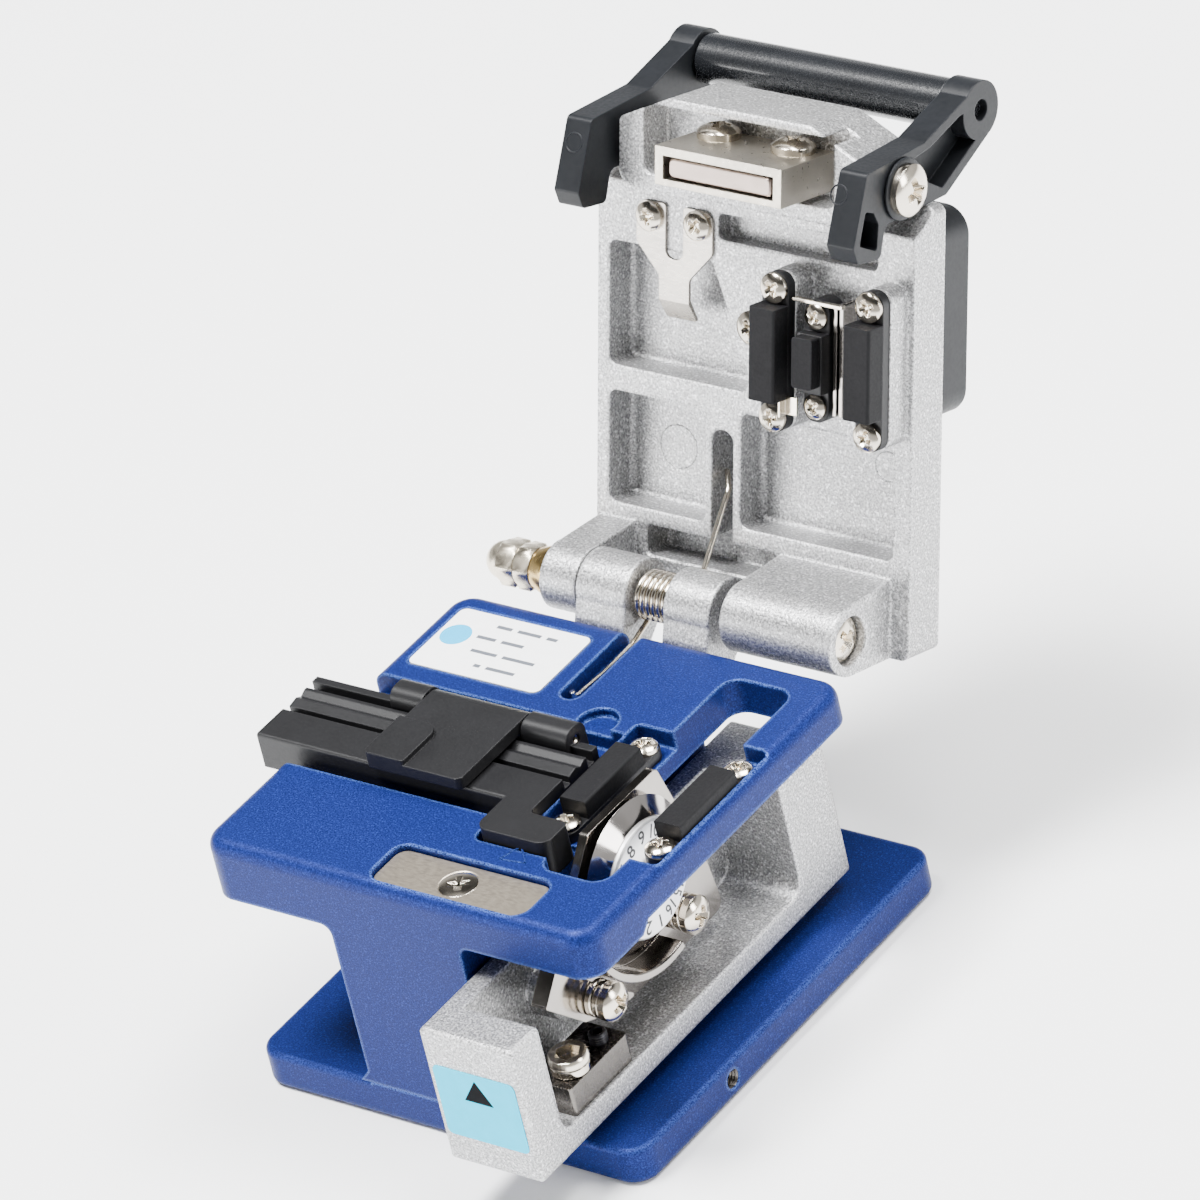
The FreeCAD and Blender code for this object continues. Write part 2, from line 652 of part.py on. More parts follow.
def rail():
    """Rail screwed in the column's side recess, and the ball carriage that the slider hangs on."""
    body = new_body("linear_rail")
    root = "column_right - rail_depth"
    half = "rail_height / 2"
    pad(body, "XZ_Plane", "rail_front + 0.5", "column_rear - 0.5", [
        (root, "rail_middle_z - " + half), (root + " + 3.4", "rail_middle_z - " + half),
        (root + " + 3.4", "rail_middle_z - %s * 0.5" % half),
        (root + " + 2.6", "rail_middle_z"),
        (root + " + 3.4", "rail_middle_z + %s * 0.5" % half),
        (root + " + 3.4", "rail_middle_z + " + half), (root, "rail_middle_z + " + half)])
    car = new_body("rail_carriage")
    low = "rail_middle_z - rail_car_height / 2"
    high = "rail_middle_z + rail_car_height / 2"
    pad(car, "XZ_Plane", "rail_car_front", "rail_car_front + rail_car_length", [
        (root + " + 1", low), ("slider_left", low), ("slider_left", high), (root + " + 1", high),
        (root + " + 1", "rail_middle_z + %s + 0.06" % half),
        (root + " + 3.5", "rail_middle_z + %s + 0.06" % half),
        (root + " + 3.5", "rail_middle_z - (%s + 0.06)" % half),
        (root + " + 1", "rail_middle_z - (%s + 0.06)" % half)])


def slider():
    """Silver carriage casting: floor, web, push wall and rear wall, with the arm's bosses."""
    body = new_body("slider_carriage")
    pad(body, "XY_Plane", "slider_bottom", "slider_top",
        rectangle("slider_left", "slider_front", "slider_right", "slider_rear"))
    round_edges(body, "slider_edge", lambda edge: True)
    cut(body, "YZ_Plane", "slider_left + slider_web", "slider_right + 1", [
        ("slider_front + slider_front_wall", "slider_bottom + slider_floor", "slider_fillet"),
        ("slider_rear - slider_rear_wall", "slider_bottom + slider_floor", "slider_fillet"),
        ("slider_rear - slider_rear_wall", "slider_top + 1"),
        ("slider_front + slider_front_wall", "slider_top + 1")])
    web_face = "slider_left + slider_web"
    for y, z in (("arm_screw_a_y", "arm_screw_a_z"), ("arm_screw_b_y", "arm_screw_b_z")):
        boss(body, "YZ_Plane", web_face + " - 0.5", "arm_x", y, z, "2 * arm_boss_radius")
        bore(body, "YZ_Plane", web_face, "arm_x + 1", y, z, "arm_shank + 2 * shank_gap")
    pad(body, "YZ_Plane", web_face + " - 0.5", web_face + " + 1.6", [
        ("arm_screw_b_y + 9.4", "slider_top - 0.6"), ("arm_screw_b_y + 9.4", "slider_top - 8", "1.4"),
        ("arm_screw_b_y + 12.4", "slider_top - 8", "1.4"), ("arm_screw_b_y + 12.4", "slider_top - 0.6")])
    for y in ("cap_screw_y", "grub_screw_y"):
        bore(body, "XY_Plane", "slider_bottom + 1", "slider_bottom + slider_floor + 1",
             "(block_left + block_right) / 2 + 0.8", y, "arm_shank + 2 * shank_gap")
    sticker = new_body("slider_sticker")
    pad(sticker, "XZ_Plane", "slider_front - sticker_thick", "slider_front", rectangle(
        "slider_left + 0.9", "slider_bottom + sticker_rise", "slider_right - 0.9",
        "slider_bottom + sticker_rise + sticker_height", "0.8"))


def blade_arm():
    """Plated arm of the blade with the guard lip that follows the blade's edge."""
    body = new_body("blade_arm")
    pad(body, "YZ_Plane", "arm_x", "arm_x + arm_thick", [
        ("blade_y - 19.2", "blade_z - 6.7", "1"), ("blade_y - 8.5", "blade_z - 15.9", "1"),
        ("blade_y + 15.5", "blade_z - 15.9", "1.5"), ("blade_y + 14.2", "blade_z - 6", "1"),
        ("blade_y + 10", "blade_z + 9.2", "1"), ("blade_y - 5", "blade_z + 9.2", "1"),
        ("blade_y - 13.6", "blade_z - 0.6", "1")])
    lip = arc_corners("blade_y", "blade_z", "guard_radius", 205, 284, 12)
    lip += reversed(arc_corners("blade_y", "blade_z", "(guard_radius - guard_thick)", 205, 284, 12))
    pad(body, "YZ_Plane", "arm_x + arm_thick - 0.3", "arm_x + arm_thick + guard_reach", lip)
    for y, z in (("arm_screw_a_y", "arm_screw_a_z"), ("arm_screw_b_y", "arm_screw_b_z")):
        bore(body, "YZ_Plane", "arm_x - 1", "arm_x + arm_thick + 1", y, z, "arm_shank + 2 * shank_gap")
    bore(body, "YZ_Plane", "arm_x - 1", "arm_x + arm_thick + 1", "blade_y", "blade_z",
         "2 * (axle_radius + shank_gap)")
    stacks = (("arm_screw_a_y", "arm_screw_a_z", "stack_a"), ("arm_screw_b_y", "arm_screw_b_z", "stack_b"))
    sleeve = new_body("spring_washers")
    fastener = new_body("arm_screws")
    for y, z, washer in stacks:
        face = "arm_x + arm_thick"
        sketch = new_sketch(sleeve, "YZ_Plane", along=face)
        ring(sketch, y, z, "arm_head")
        ring(sketch, y, z, "arm_shank + 2 * shank_gap")
        extrude(sleeve, "Pad", sketch, "0", washer)
        screw(fastener, (face + " + " + washer, y, z), "arm_head", "2.2", "arm_shank",
              "arm_thick + 3 + " + washer, "H_Axis")


def blade():
    """Round blade with its sharp rim, the dial ring with the sixteen positions and the axle screw."""
    disc = new_body("blade_disc")
    axle = "axle_radius + shank_gap"
    turn(disc, ("0", "blade_y", "blade_z"), [
        ("arm_x + arm_thick + 0.1", axle), ("dial_face_x - 0.7", axle),
        ("dial_face_x - 0.7", "dial_radius + 0.1"), ("blade_plane_x", "blade_radius"),
        ("blade_plane_x - 0.7", "blade_radius - 1"), ("blade_plane_x - 0.7", "axle_radius + 2.5"),
        ("arm_x + arm_thick + 0.1", "axle_radius + 2.5")], "H_Axis")
    dial = new_body("blade_dial")
    turn(dial, ("0", "blade_y", "blade_z"), [
        ("dial_face_x - 0.7", axle), ("dial_face_x", axle), ("dial_face_x", "dial_radius - 0.2"),
        ("dial_face_x - 0.2", "dial_radius"), ("dial_face_x - 0.7", "dial_radius")], "H_Axis")
    fastener = new_body("blade_axle_screw")
    screw(fastener, ("dial_face_x", "blade_y", "blade_z"), "5.6", "1.2", "2 * axle_radius",
          "dial_face_x - arm_x", "H_Axis")


def height_block():
    """Steel block on the carriage floor with the cap screw and the grub screw that set the blade's height."""
    floor = "slider_bottom + slider_floor"
    body = new_body("height_block")
    pad(body, "XY_Plane", floor, floor + " + block_height",
        rectangle("block_left", "block_front", "block_right", "block_rear", "0.5"))
    x = "(block_left + block_right) / 2 + 0.8"
    for y in ("cap_screw_y", "grub_screw_y"):
        bore(body, "XY_Plane", floor + " - 1", floor + " + block_height + 1", x, y,
             "arm_shank + 2 * shank_gap")
    cap = new_body("cap_screw")
    turn(cap, (x, "cap_screw_y", floor + " + block_height"), [
        ("0", "-block_height - 2"), ("arm_shank / 2", "-block_height - 2"), ("arm_shank / 2", "0"),
        ("2.55", "0"), ("2.55", "2.2"), ("2.25", "2.5"), ("1.25", "2.5"), ("1.25", "1.1"), ("0", "1.1")])
    grub = new_body("grub_screw")
    turn(grub, (x, "grub_screw_y", floor + " + block_height"), [
        ("0", "-block_height - 2"), ("arm_shank / 2", "-block_height - 2"), ("arm_shank / 2", "1.4"),
        ("0.7", "1.4"), ("0.7", "0.4"), ("0", "0.4")])


def flip(corners):
    """Turn distances from the hinge, which grow to the front, into the lid frame's y."""
    return [(corner[0], "-(%s)" % corner[1]) + tuple(corner[2:]) for corner in corners]


def lid_casting():
    """Silver lid: ribbed pan with hinge barrels at its rear and the magnet's frame at its front."""
    body = new_body("lid_casting", LID_FRAME)
    pad(body, "XY_Plane", "lid_rim", "lid_back",
        flip(rectangle("lid_left", "-lid_tail", "lid_right", "lid_front", "1.2")))
    pad(body, "XY_Plane", "head_face", "lid_back", flip([
        ("head_left", "head_rear", "2"), ("head_right", "head_rear", "2"),
        ("head_right", "head_front - 3.4", "1"), ("head_right - 7.5", "head_front", "1"),
        ("head_left + 7.5", "head_front", "1"), ("head_left", "head_front - 3.4", "1")]))
    barrels = (("barrel_a_left", "barrel_b_left - hinge_gap"), ("barrel_d_left", "barrel_d_right"))
    for left, right in barrels:
        boss(body, "YZ_Plane", left, right, "0", "0", "2 * barrel_radius")
        pad(body, "YZ_Plane", left, right, [
            ("-barrel_radius", "0"), ("barrel_radius", "0"), ("lid_tail", "lid_rim + 1"),
            ("-barrel_radius - 1.5", "lid_rim + 1")])
    floor = "lid_back - lid_skin"
    low = "lid_rim - 0.5"
    pockets = [
        [("lid_left + 1.7", "25.5", "1.2"), ("4.8", "25.5", "1.2"), ("4.6", "28.9", "1"),
         ("-0.9", "41.6", "1.2"), ("lid_left + 1.7", "41.6", "1.2")],
        rectangle("lid_left + 1.8", "7.7", "-1.5", "22.3", "1.2"),
        rectangle("3.7", "8", "lid_right - 2.6", "22.8", "1.2"),
        rectangle("-0.7", "3", "2.7", "20.1", "1.6"),
        rectangle("barrel_b_left + 1.4", "1.8", "barrel_d_left - 0.5", "5.8", "0.8"),
    ]
    for corners in pockets[:3]:
        cut(body, "XY_Plane", low, floor, flip(corners))
    round_edges(body, "pocket_round", lambda edge: level(edge, real(floor)))
    for corners in pockets[3:]:
        cut(body, "XY_Plane", low, floor, flip(corners))
    cut(body, "XY_Plane", low, "lid_back - 3.5", flip(rectangle("0", "44.3", "24", "47.7", "0.8")))
    cut(body, "XY_Plane", "head_face - 1", "head_floor", flip(rectangle(
        "head_left + 3.6", "head_rear + 2", "head_right - 3.6", "head_front - 1", "1.2")))
    for x in ("pad_left_x", "pad_right_x"):
        pad(body, "XY_Plane", "lid_seat", "lid_rim + 1", flip(rectangle(
            x + " - 2.1", "hinge_y - pad_screw_rear - 1.9", x + " + 2.1",
            "hinge_y - pad_screw_front + 1.9", "1.7")))
    bore(body, "XY_Plane", "lid_rim - 0.5", "lid_rim + 2.5", "lid_screw_x", "-lid_screw_v",
         "small_shank + 2 * shank_gap")
    bore(body, "YZ_Plane", "head_right", "lid_right + 1", "-pivot_v", "pivot_w", "lever_notch")
    bore(body, "YZ_Plane", "lid_left - 1", "head_left", "-pivot_v", "pivot_w", "lever_notch")
    bore(body, "YZ_Plane", "barrel_a_left - 1", "barrel_d_right + 1", "0", "0", "hinge_shaft + 2 * shank_gap")
    bore(body, "YZ_Plane", "barrel_d_right - 2.2", "barrel_d_right + 1", "0", "0", "6.4")
    for left, right in (("head_left - 1", "head_left + 3"), ("head_right - 3", "head_right + 1")):
        bore(body, "YZ_Plane", left, right, "-pivot_v", "pivot_w", "pivot_shank + 2 * shank_gap")
    return body


def hinge_hardware():
    """Hinge screw through all barrels, with the brass washer, the lock nut and the cap nut."""
    pin = new_body("hinge_screw", LID_FRAME)
    end = "barrel_a_left - 8.6"
    turn(pin, ("0", "0", "0"), [
        (end, "0"), ("barrel_d_right - 0.3", "0"), ("barrel_d_right - 0.3", "2.2"),
        ("barrel_d_right - 0.9", "3"), ("barrel_d_right - 2.2", "3"),
        ("barrel_d_right - 2.2", "hinge_shaft / 2"), (end, "hinge_shaft / 2")], "H_Axis")
    hole = "hinge_shaft / 2 + shank_gap"
    washer = new_body("hinge_washer", LID_FRAME)
    turn(washer, ("0", "0", "0"), [
        ("barrel_a_left - 3.1", hole), ("barrel_a_left - 0.1", hole), ("barrel_a_left - 0.1", "3.4"),
        ("barrel_a_left - 1", "3.4"), ("barrel_a_left - 3.1", "2.7")], "H_Axis")
    nut = new_body("lock_nut", LID_FRAME)
    hexagon = [("nut_corner * cos(%d deg)" % angle, "nut_corner * sin(%d deg)" % angle)
               for angle in range(0, 360, 60)]
    pad(nut, "YZ_Plane", "barrel_a_left - 5.6", "barrel_a_left - 3.2", hexagon)
    bore(nut, "YZ_Plane", "barrel_a_left - 6", "barrel_a_left - 3", "0", "0", "2 * (%s)" % hole)
    cap = new_body("cap_nut", LID_FRAME)
    pad(cap, "YZ_Plane", "barrel_a_left - 8.4", "barrel_a_left - 5.7", hexagon)
    turn(cap, ("barrel_a_left - 8.4", "0", "0"), [
        ("0.4", "0"), ("0.4", "2.75"), ("0", "2.75"), ("-1.4", "2.2"), ("-2.4", "1.2"), ("-2.75", "0")],
        "H_Axis")
    bore(cap, "YZ_Plane", "barrel_a_left - 8.7", "barrel_a_left - 5", "0", "0", "2 * (%s)" % hole)


def torsion_spring():
    """Spring round the hinge screw: close coils and the leg that lies in the platform's groove."""
    body = new_body("torsion_spring")
    coils = 6
    pitch = "(spring_right - spring_left) / %d" % coils
    mean = "(spring_radius - spring_wire / 2)"
    profile = [("spring_right", mean + " - spring_wire * 0.3"), ("spring_left", mean + " - spring_wire * 0.3")]
    for coil in range(coils):
        start = "spring_left + %d * %s" % (coil, pitch)
        profile += [(start, mean + " + spring_wire * 0.1"),
                    (start + " + %s * 0.3" % pitch, "spring_radius"),
                    (start + " + %s * 0.7" % pitch, "spring_radius")]
    profile.append(("spring_right", mean + " + spring_wire * 0.1"))
    turn(body, ("0", "hinge_y", "hinge_z"), profile, "H_Axis")
    boss(body, "XZ_Plane", "10.2", "hinge_y", "-1.4", "hinge_z - " + mean, "spring_wire")
    leg = new_body("spring_lid_leg", ("0", "hinge_y", "hinge_z", "-open_angle - leg_angle"))
    boss(leg, "XZ_Plane", "-19", "-2.4", "spring_right - spring_wire / 2", mean, "spring_wire")


def magnet():
    """Nickel-plated magnet holder with the magnet bar let into its face, and its two screws."""
    low = "steel_top + magnet_gap - hinge_z"
    body = new_body("magnet_holder", LID_FRAME)
    pad(body, "XY_Plane", low, "head_floor",
        flip(rectangle("magnet_left", "magnet_rear", "magnet_right", "magnet_front")))
    bar = ("magnet_left + 1.6", "magnet_rear + 0.8", "magnet_right - 1.6", "magnet_front - 1.2")
    cut(body, "XY_Plane", low + " - 1", low + " + 3", flip(rectangle(
        "magnet_left + 1.2", bar[1], "magnet_right - 1.2", "magnet_front - 1.1")))
    slab = new_body("magnet", LID_FRAME)
    pad(slab, "XY_Plane", low + " + 0.3", low + " + 3", flip(rectangle(*bar, "0.3")))
    fastener = new_body("magnet_screws", LID_FRAME)
    for x in ("magnet_left + 3.85", "magnet_right - 3.95"):
        sketch = new_sketch(fastener, "XZ_Plane", along="-magnet_front - 0.01")
        ring(sketch, x, "head_face + 2", "magnet_head")
        extrude(fastener, "Pad", sketch, "0", "1.9")


def leaf_spring():
    """Y-shaped leaf spring that presses the fibre holder's lid, bent at its free end."""
    body = new_body("leaf_spring", LID_FRAME)
    top = "lid_rim"
    middle = "leaf_middle_x"
    pad(body, "XY_Plane", top + " - leaf_thick", top + " + 3", flip([
        (middle + " - 5.8", "leaf_screw_v + 1.9", "1.6"), (middle + " - 5.8", "leaf_screw_v - 3.5", "1.2"),
        (middle + " - 2.3", "leaf_screw_v - 7.3", "1"), (middle + " - 2.3", "leaf_screw_v - 13", "0.4"),
        (middle + " + 2.3", "leaf_screw_v - 13", "0.4"), (middle + " + 2.3", "leaf_screw_v - 7.3", "1"),
        (middle + " + 5.8", "leaf_screw_v - 3.5", "1.2"), (middle + " + 5.8", "leaf_screw_v + 1.9", "1.6"),
        (middle + " + 1.35", "leaf_screw_v + 1.9", "0.5"), (middle + " + 1.35", "leaf_screw_v - 5", "1.2"),
        (middle + " - 1.35", "leaf_screw_v - 5", "1.2"), (middle + " - 1.35", "leaf_screw_v + 1.9", "0.5")]))
    bend = "-leaf_screw_v + 10"
    cut(body, "YZ_Plane", middle + " - 7", middle + " + 7", [
        ("-leaf_screw_v - 3", top), (bend, top), (bend + " + 4", top + " + 2.4"),
        (bend + " + 4", top + " + 4"), ("-leaf_screw_v - 3", top + " + 4")])
    cut(body, "YZ_Plane", middle + " - 7", middle + " + 7", [
        (bend + " + 0.25", top + " - leaf_thick - 0.1"), (bend + " + 4", top + " + 2"),
        (bend + " + 4", top + " - leaf_thick - 0.1")])
    fastener = new_body("leaf_screws", LID_FRAME)
    for x in (middle + " - 3.65", middle + " + 3.65"):
        bore(body, "XY_Plane", top + " - 1", top + " + 1", x, "-leaf_screw_v", "small_shank + 2 * shank_gap")
        screw(fastener, (x, "-leaf_screw_v", top + " - leaf_thick"), "small_head", "small_head_height",
              "small_shank", "leaf_thick", facing=-1)


def upper_pad_set(side, x):
    """Upper pad on the lid, opposite the lower one: base, rubber and two screws."""
    half = "pad_width / 2"
    seat = "lid_seat"
    base = new_body("upper_pad_base_" + side, LID_FRAME)
    pad(base, "XY_Plane", seat + " - pad_base_thick", seat, flip(rectangle(
        "%s - %s" % (x, half), "hinge_y - pad_screw_rear - 1.9", "%s + %s" % (x, half),
        "hinge_y - pad_screw_front + 1.9", "1.7")))
    rubber = new_body("upper_rubber_" + side, LID_FRAME)
    face = "pad_face + pad_pinch - hinge_z"
    pad(rubber, "XZ_Plane", "pad_front - hinge_y", "pad_rear - hinge_y", [
        ("%s - %s" % (x, half), face, "0.35"), ("%s + %s" % (x, half), face, "0.35"),
        ("%s + %s" % (x, half), seat + " - pad_base_thick"),
        ("%s - %s" % (x, half), seat + " - pad_base_thick")])
    fastener = new_body("upper_pad_screws_" + side, LID_FRAME)
    for y in ("pad_screw_front - hinge_y", "pad_screw_rear - hinge_y"):
        bore(base, "XY_Plane", seat + " - 3", seat + " + 1", x, y, "small_shank + 2 * shank_gap")
        screw(fastener, (x, y, seat + " - pad_base_thick"), "small_head", "small_head_height",
              "small_shank", "pad_base_thick", facing=-1)


def anvil():
    """Anvil between the upper pads: holder with two screws, its pad, and the steel leaves beside it."""
    face = "anvil_face"
    body = new_body("anvil_holder", LID_FRAME)
    seat = "lid_rim - anvil_stroke - 0.3"
    pad(body, "XY_Plane", "head_face", seat, flip(rectangle(
        "anvil_x - 1.8", "anvil_rear", "anvil_x + 1.8", "anvil_front", "1.5")))
    pad(body, "XY_Plane", face + " + 1.6", "head_face + 0.5", flip(rectangle(
        "anvil_x - 1.8", "anvil_rear + 4", "anvil_x + 1.8", "anvil_front - 4")))
    rubber = new_body("anvil_pad", LID_FRAME)
    pad(rubber, "XY_Plane", face, face + " + 1.6", flip(rectangle(
        "anvil_x - 1.5", "anvil_rear + 4.9", "anvil_x + 1.5", "anvil_front - 4.1", "0.4")))
    fastener = new_body("anvil_screws", LID_FRAME)
    for v in ("anvil_rear + 2", "anvil_front - 2"):
        sketch = new_sketch(fastener, "XY_Plane", along="head_face - 1")
        ring(sketch, "anvil_x", "-(%s)" % v, "3.2")
        extrude(fastener, "Pad", sketch, "0", "1")
    leaves = new_body("steel_leaves", LID_FRAME)
    for step in range(2):
        left = "anvil_x + 2.1 + %.1f" % (0.9 * step)
        pad(leaves, "XY_Plane", "head_face + 0.5", "lid_rim", flip(rectangle(
            left, "anvil_rear + 1", left + " + 0.5", "anvil_front - 0.5")))


def back_cover():
    """Black cover on the lid's outside."""
    body = new_body("lid_back_cover", LID_FRAME)
    pad(body, "XY_Plane", "lid_back", "lid_back + cover_depth", flip(rectangle(
        "cover_left", "cover_rear", "cover_right", "cover_front", "3.5")))
    fastener = new_body("lid_screw", LID_FRAME)
    screw(fastener, ("lid_screw_x", "-lid_screw_v", "lid_rim"), "4.4", "1.3", "small_shank", "2", facing=-1)


def lever_profile():
    """Side outline of a lever arm, closed, from the pivot: y to the back and z up."""
    sole = "platform_top + sole_gap - hinge_z - pivot_w"
    return [
        ("8.1", sole, "0.5"), ("9.8", sole + " + 1.6", "0.6"), ("8.7", "-1.87", "0.8"),
        ("4.64", "-2.14", "1.2"), ("0", "9.8", "1.2"),
        ("-roller_reach + lever_hub * 0.62", "roller_rise + lever_hub * 0.78"),
        ("-roller_reach - lever_hub * 0.7", "roller_rise + lever_hub * 0.2"),
        ("-roller_reach - lever_hub * 0.35", "roller_rise - lever_hub * 0.94"),
        ("-5.9", "3.2", "2"), ("-1.1", sole, "0.8")]


def lever_arm(name, inner, outer, face):
    """Lever arm: foot, pivot boss and hub, hollow on its outer face."""
    body = new_body(name, LEVER_FRAME)
    low, high = (inner, outer) if real(inner) < real(outer) else (outer, inner)
    pad(body, "YZ_Plane", low, high, lever_profile())
    hollow = (high + " - lever_hollow", high + " + 1") if face > 0 else (low + " - 1", low + " + lever_hollow")
    sole = "platform_top + sole_gap - hinge_z - pivot_w"
    cut(body, "YZ_Plane", *hollow, [
        ("7.6", sole + " + 1.1", "0.4"), ("7.9", "-2.9", "0.4"), ("4.6", "-3.6", "0.4"), ("3.4", "-5", "0.4"),
        ("3.4", sole + " + 1.1", "0.4")])
    cut(body, "YZ_Plane", *hollow, [
        ("-1.6", "2.4"), ("-0.7", "8.7", "0.8"), ("-8.2", "15"), ("-roller_reach", "roller_rise - 2"),
        ("-9.6", "9.6"), ("-5.3", "4.4", "1.5"), ("-3.6", "1.2")])
    boss(body, "YZ_Plane", low, high, "-roller_reach", "roller_rise", "2 * lever_hub")
    boss(body, "YZ_Plane", low, high, "0", "0", "2 * pivot_boss")
    bore(body, "YZ_Plane", low + " - 1", high + " + 1", "0", "0", "pivot_shank + 2 * shank_gap")
    bore(body, "YZ_Plane", low + " - 1", high + " + 1", "-roller_reach", "roller_rise",
         "roller_shaft_diameter + 2 * shank_gap")


def lever():
    """Pry lever: two arms, the roller between them on its shaft, and the two pivot screws."""
    lever_arm("lever_arm_right", "arm_right_in", "arm_right_out", 1)
    lever_arm("lever_arm_left", "arm_left_in", "arm_left_out", -1)
    shaft = new_body("roller_shaft", LEVER_FRAME)
    boss(shaft, "YZ_Plane", "arm_left_out + 1", "arm_right_out - 1", "-roller_reach", "roller_rise",
         "roller_shaft_diameter")
    roller = new_body("roller", LEVER_FRAME)
    left = "arm_left_in + 0.3"
    right = "arm_right_in - 0.3"
    hole = "roller_shaft_diameter / 2 + shank_gap"
    turn(roller, ("0", "-roller_reach", "roller_rise"), [
        (left, hole), (right, hole), (right, "roller_diameter / 2 - 0.3"),
        (right + " - 0.3", "roller_diameter / 2"), (left + " + 0.3", "roller_diameter / 2"),
        (left, "roller_diameter / 2 - 0.3")], "H_Axis")
    for name, face, side in (("right", "arm_right_out", 1), ("left", "arm_left_out", -1)):
        fastener = new_body("pivot_screw_" + name, LID_FRAME)
        length = "arm_right_out - head_right + 2.8" if side > 0 else "head_left - arm_left_out + 2.8"
        screw(fastener, (face + " + %.2f" % (0.1 * side), "-pivot_v", "pivot_w"), "pivot_head", "2.4",
              "pivot_shank", length, "H_Axis", side)


def check_and_write():
    """Stop on any failed object or empty cut, then write one file for each node."""
    doc.recompute()
    for item in doc.Objects:
        if "Invalid" in item.State or "Error" in item.State:
            raise RuntimeError("failed object: " + item.Name)
    for item in CUTS:
        if item.Shape.Volume > item.BaseFeature.Shape.Volume - 1e-3:
            raise RuntimeError("cut without effect: " + item.Name)
    os.makedirs("parts", exist_ok=True)
    for body in NODES:
        if body.Shape.isNull() or not body.Shape.isValid():
            raise RuntimeError("bad shape: " + body.Label)
        body.Shape.exportStep("parts/%s.step" % body.Label)
        print(body.Label, len(body.Shape.Solids), round(body.Shape.Volume, 1))


base_plate()
body_casting()
hinge_bracket()
platform_plates()
pad_set("left", "pad_left_x")
pad_set("right", "pad_right_x")
holder()
holder_clamp()
rail()
slider()
blade_arm()
blade()
height_block()
lid_casting()
hinge_hardware()
torsion_spring()
magnet()
leaf_spring()
upper_pad_set("left", "pad_left_x")
upper_pad_set("right", "pad_right_x")
anvil()
back_cover()
lever()
check_and_write()
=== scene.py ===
import bpy
import bmesh
import math
from mathutils import Euler, Matrix, Vector


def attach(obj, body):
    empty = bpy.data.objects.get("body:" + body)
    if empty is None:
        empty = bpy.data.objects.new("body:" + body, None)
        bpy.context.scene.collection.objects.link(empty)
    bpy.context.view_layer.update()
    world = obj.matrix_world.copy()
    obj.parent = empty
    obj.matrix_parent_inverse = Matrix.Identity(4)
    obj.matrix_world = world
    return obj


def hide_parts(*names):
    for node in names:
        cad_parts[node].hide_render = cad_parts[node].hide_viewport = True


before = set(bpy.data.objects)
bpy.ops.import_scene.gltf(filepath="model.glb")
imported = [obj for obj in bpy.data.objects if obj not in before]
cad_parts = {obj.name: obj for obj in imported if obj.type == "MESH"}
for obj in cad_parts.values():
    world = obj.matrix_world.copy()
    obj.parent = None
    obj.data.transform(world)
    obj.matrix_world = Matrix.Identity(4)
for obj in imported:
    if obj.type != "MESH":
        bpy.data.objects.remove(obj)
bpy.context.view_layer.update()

# Studio: the camera looks down on the cleaver from its front right, long-lensed, with a slight roll, as in
# the product photograph. A pale floor and large soft lights leave hardly any shadow.
CAMERA_PLACE = Vector((0.61608, -0.64470, 0.63381))
CAMERA_RIGHT = Vector((0.79785, 0.56988, -0.19664))
CAMERA_UP = Vector((-0.18981, 0.54705, 0.81530))
CAMERA_LENS = 265.2
SENSOR_WIDTH = 36.0
NEAREST_SEEN = 0.01
camera_data = bpy.data.cameras.new("camera")
camera_data.lens = CAMERA_LENS
camera_data.sensor_width = SENSOR_WIDTH
camera_data.clip_start = NEAREST_SEEN
camera = bpy.data.objects.new("camera", camera_data)
camera.matrix_world = Matrix.Translation(CAMERA_PLACE) @ Matrix((
    CAMERA_RIGHT, CAMERA_UP, CAMERA_RIGHT.cross(CAMERA_UP))).transposed().to_4x4()
bpy.context.collection.objects.link(camera)
bpy.context.scene.camera = camera


def new_material(name):
    """Node material with its Principled shader and object coordinates ready."""
    material = bpy.data.materials.new(name)
    material.use_nodes = True
    tree = material.node_tree
    shader = tree.nodes["Principled BSDF"]
    place = tree.nodes.new("ShaderNodeTexCoord")
    return material, tree, shader, place.outputs["Object"]


def noise(tree, place, scale, detail=2.0, stretch=(1, 1, 1)):
    """Noise over object coordinates, stretched along the axes."""
    mapping = tree.nodes.new("ShaderNodeMapping")
    mapping.inputs["Scale"].default_value = stretch
    tree.links.new(place, mapping.inputs["Vector"])
    texture = tree.nodes.new("ShaderNodeTexNoise")
    texture.inputs["Scale"].default_value = scale
    texture.inputs["Detail"].default_value = detail
    tree.links.new(mapping.outputs["Vector"], texture.inputs["Vector"])
    return texture.outputs["Fac"]


def span(tree, value, low, high, start=0.0, stop=1.0):
    """Value mapped from one range to another."""
    node = tree.nodes.new("ShaderNodeMapRange")
    for socket, number in (("From Min", low), ("From Max", high), ("To Min", start), ("To Max", stop)):
        node.inputs[socket].default_value = number
    tree.links.new(value, node.inputs["Value"])
    return node.outputs["Result"]


def blend_colors(tree, amount, first, second):
    """Mix of two colours by an amount; each is a colour or a socket."""
    node = tree.nodes.new("ShaderNodeMix")
    node.data_type = "RGBA"
    tree.links.new(amount, node.inputs["Factor"])
    for socket, color in ((node.inputs["A"], first), (node.inputs["B"], second)):
        if isinstance(color, tuple):
            socket.default_value = color + (1.0,)
        else:
            tree.links.new(color, socket)
    return node.outputs["Result"]


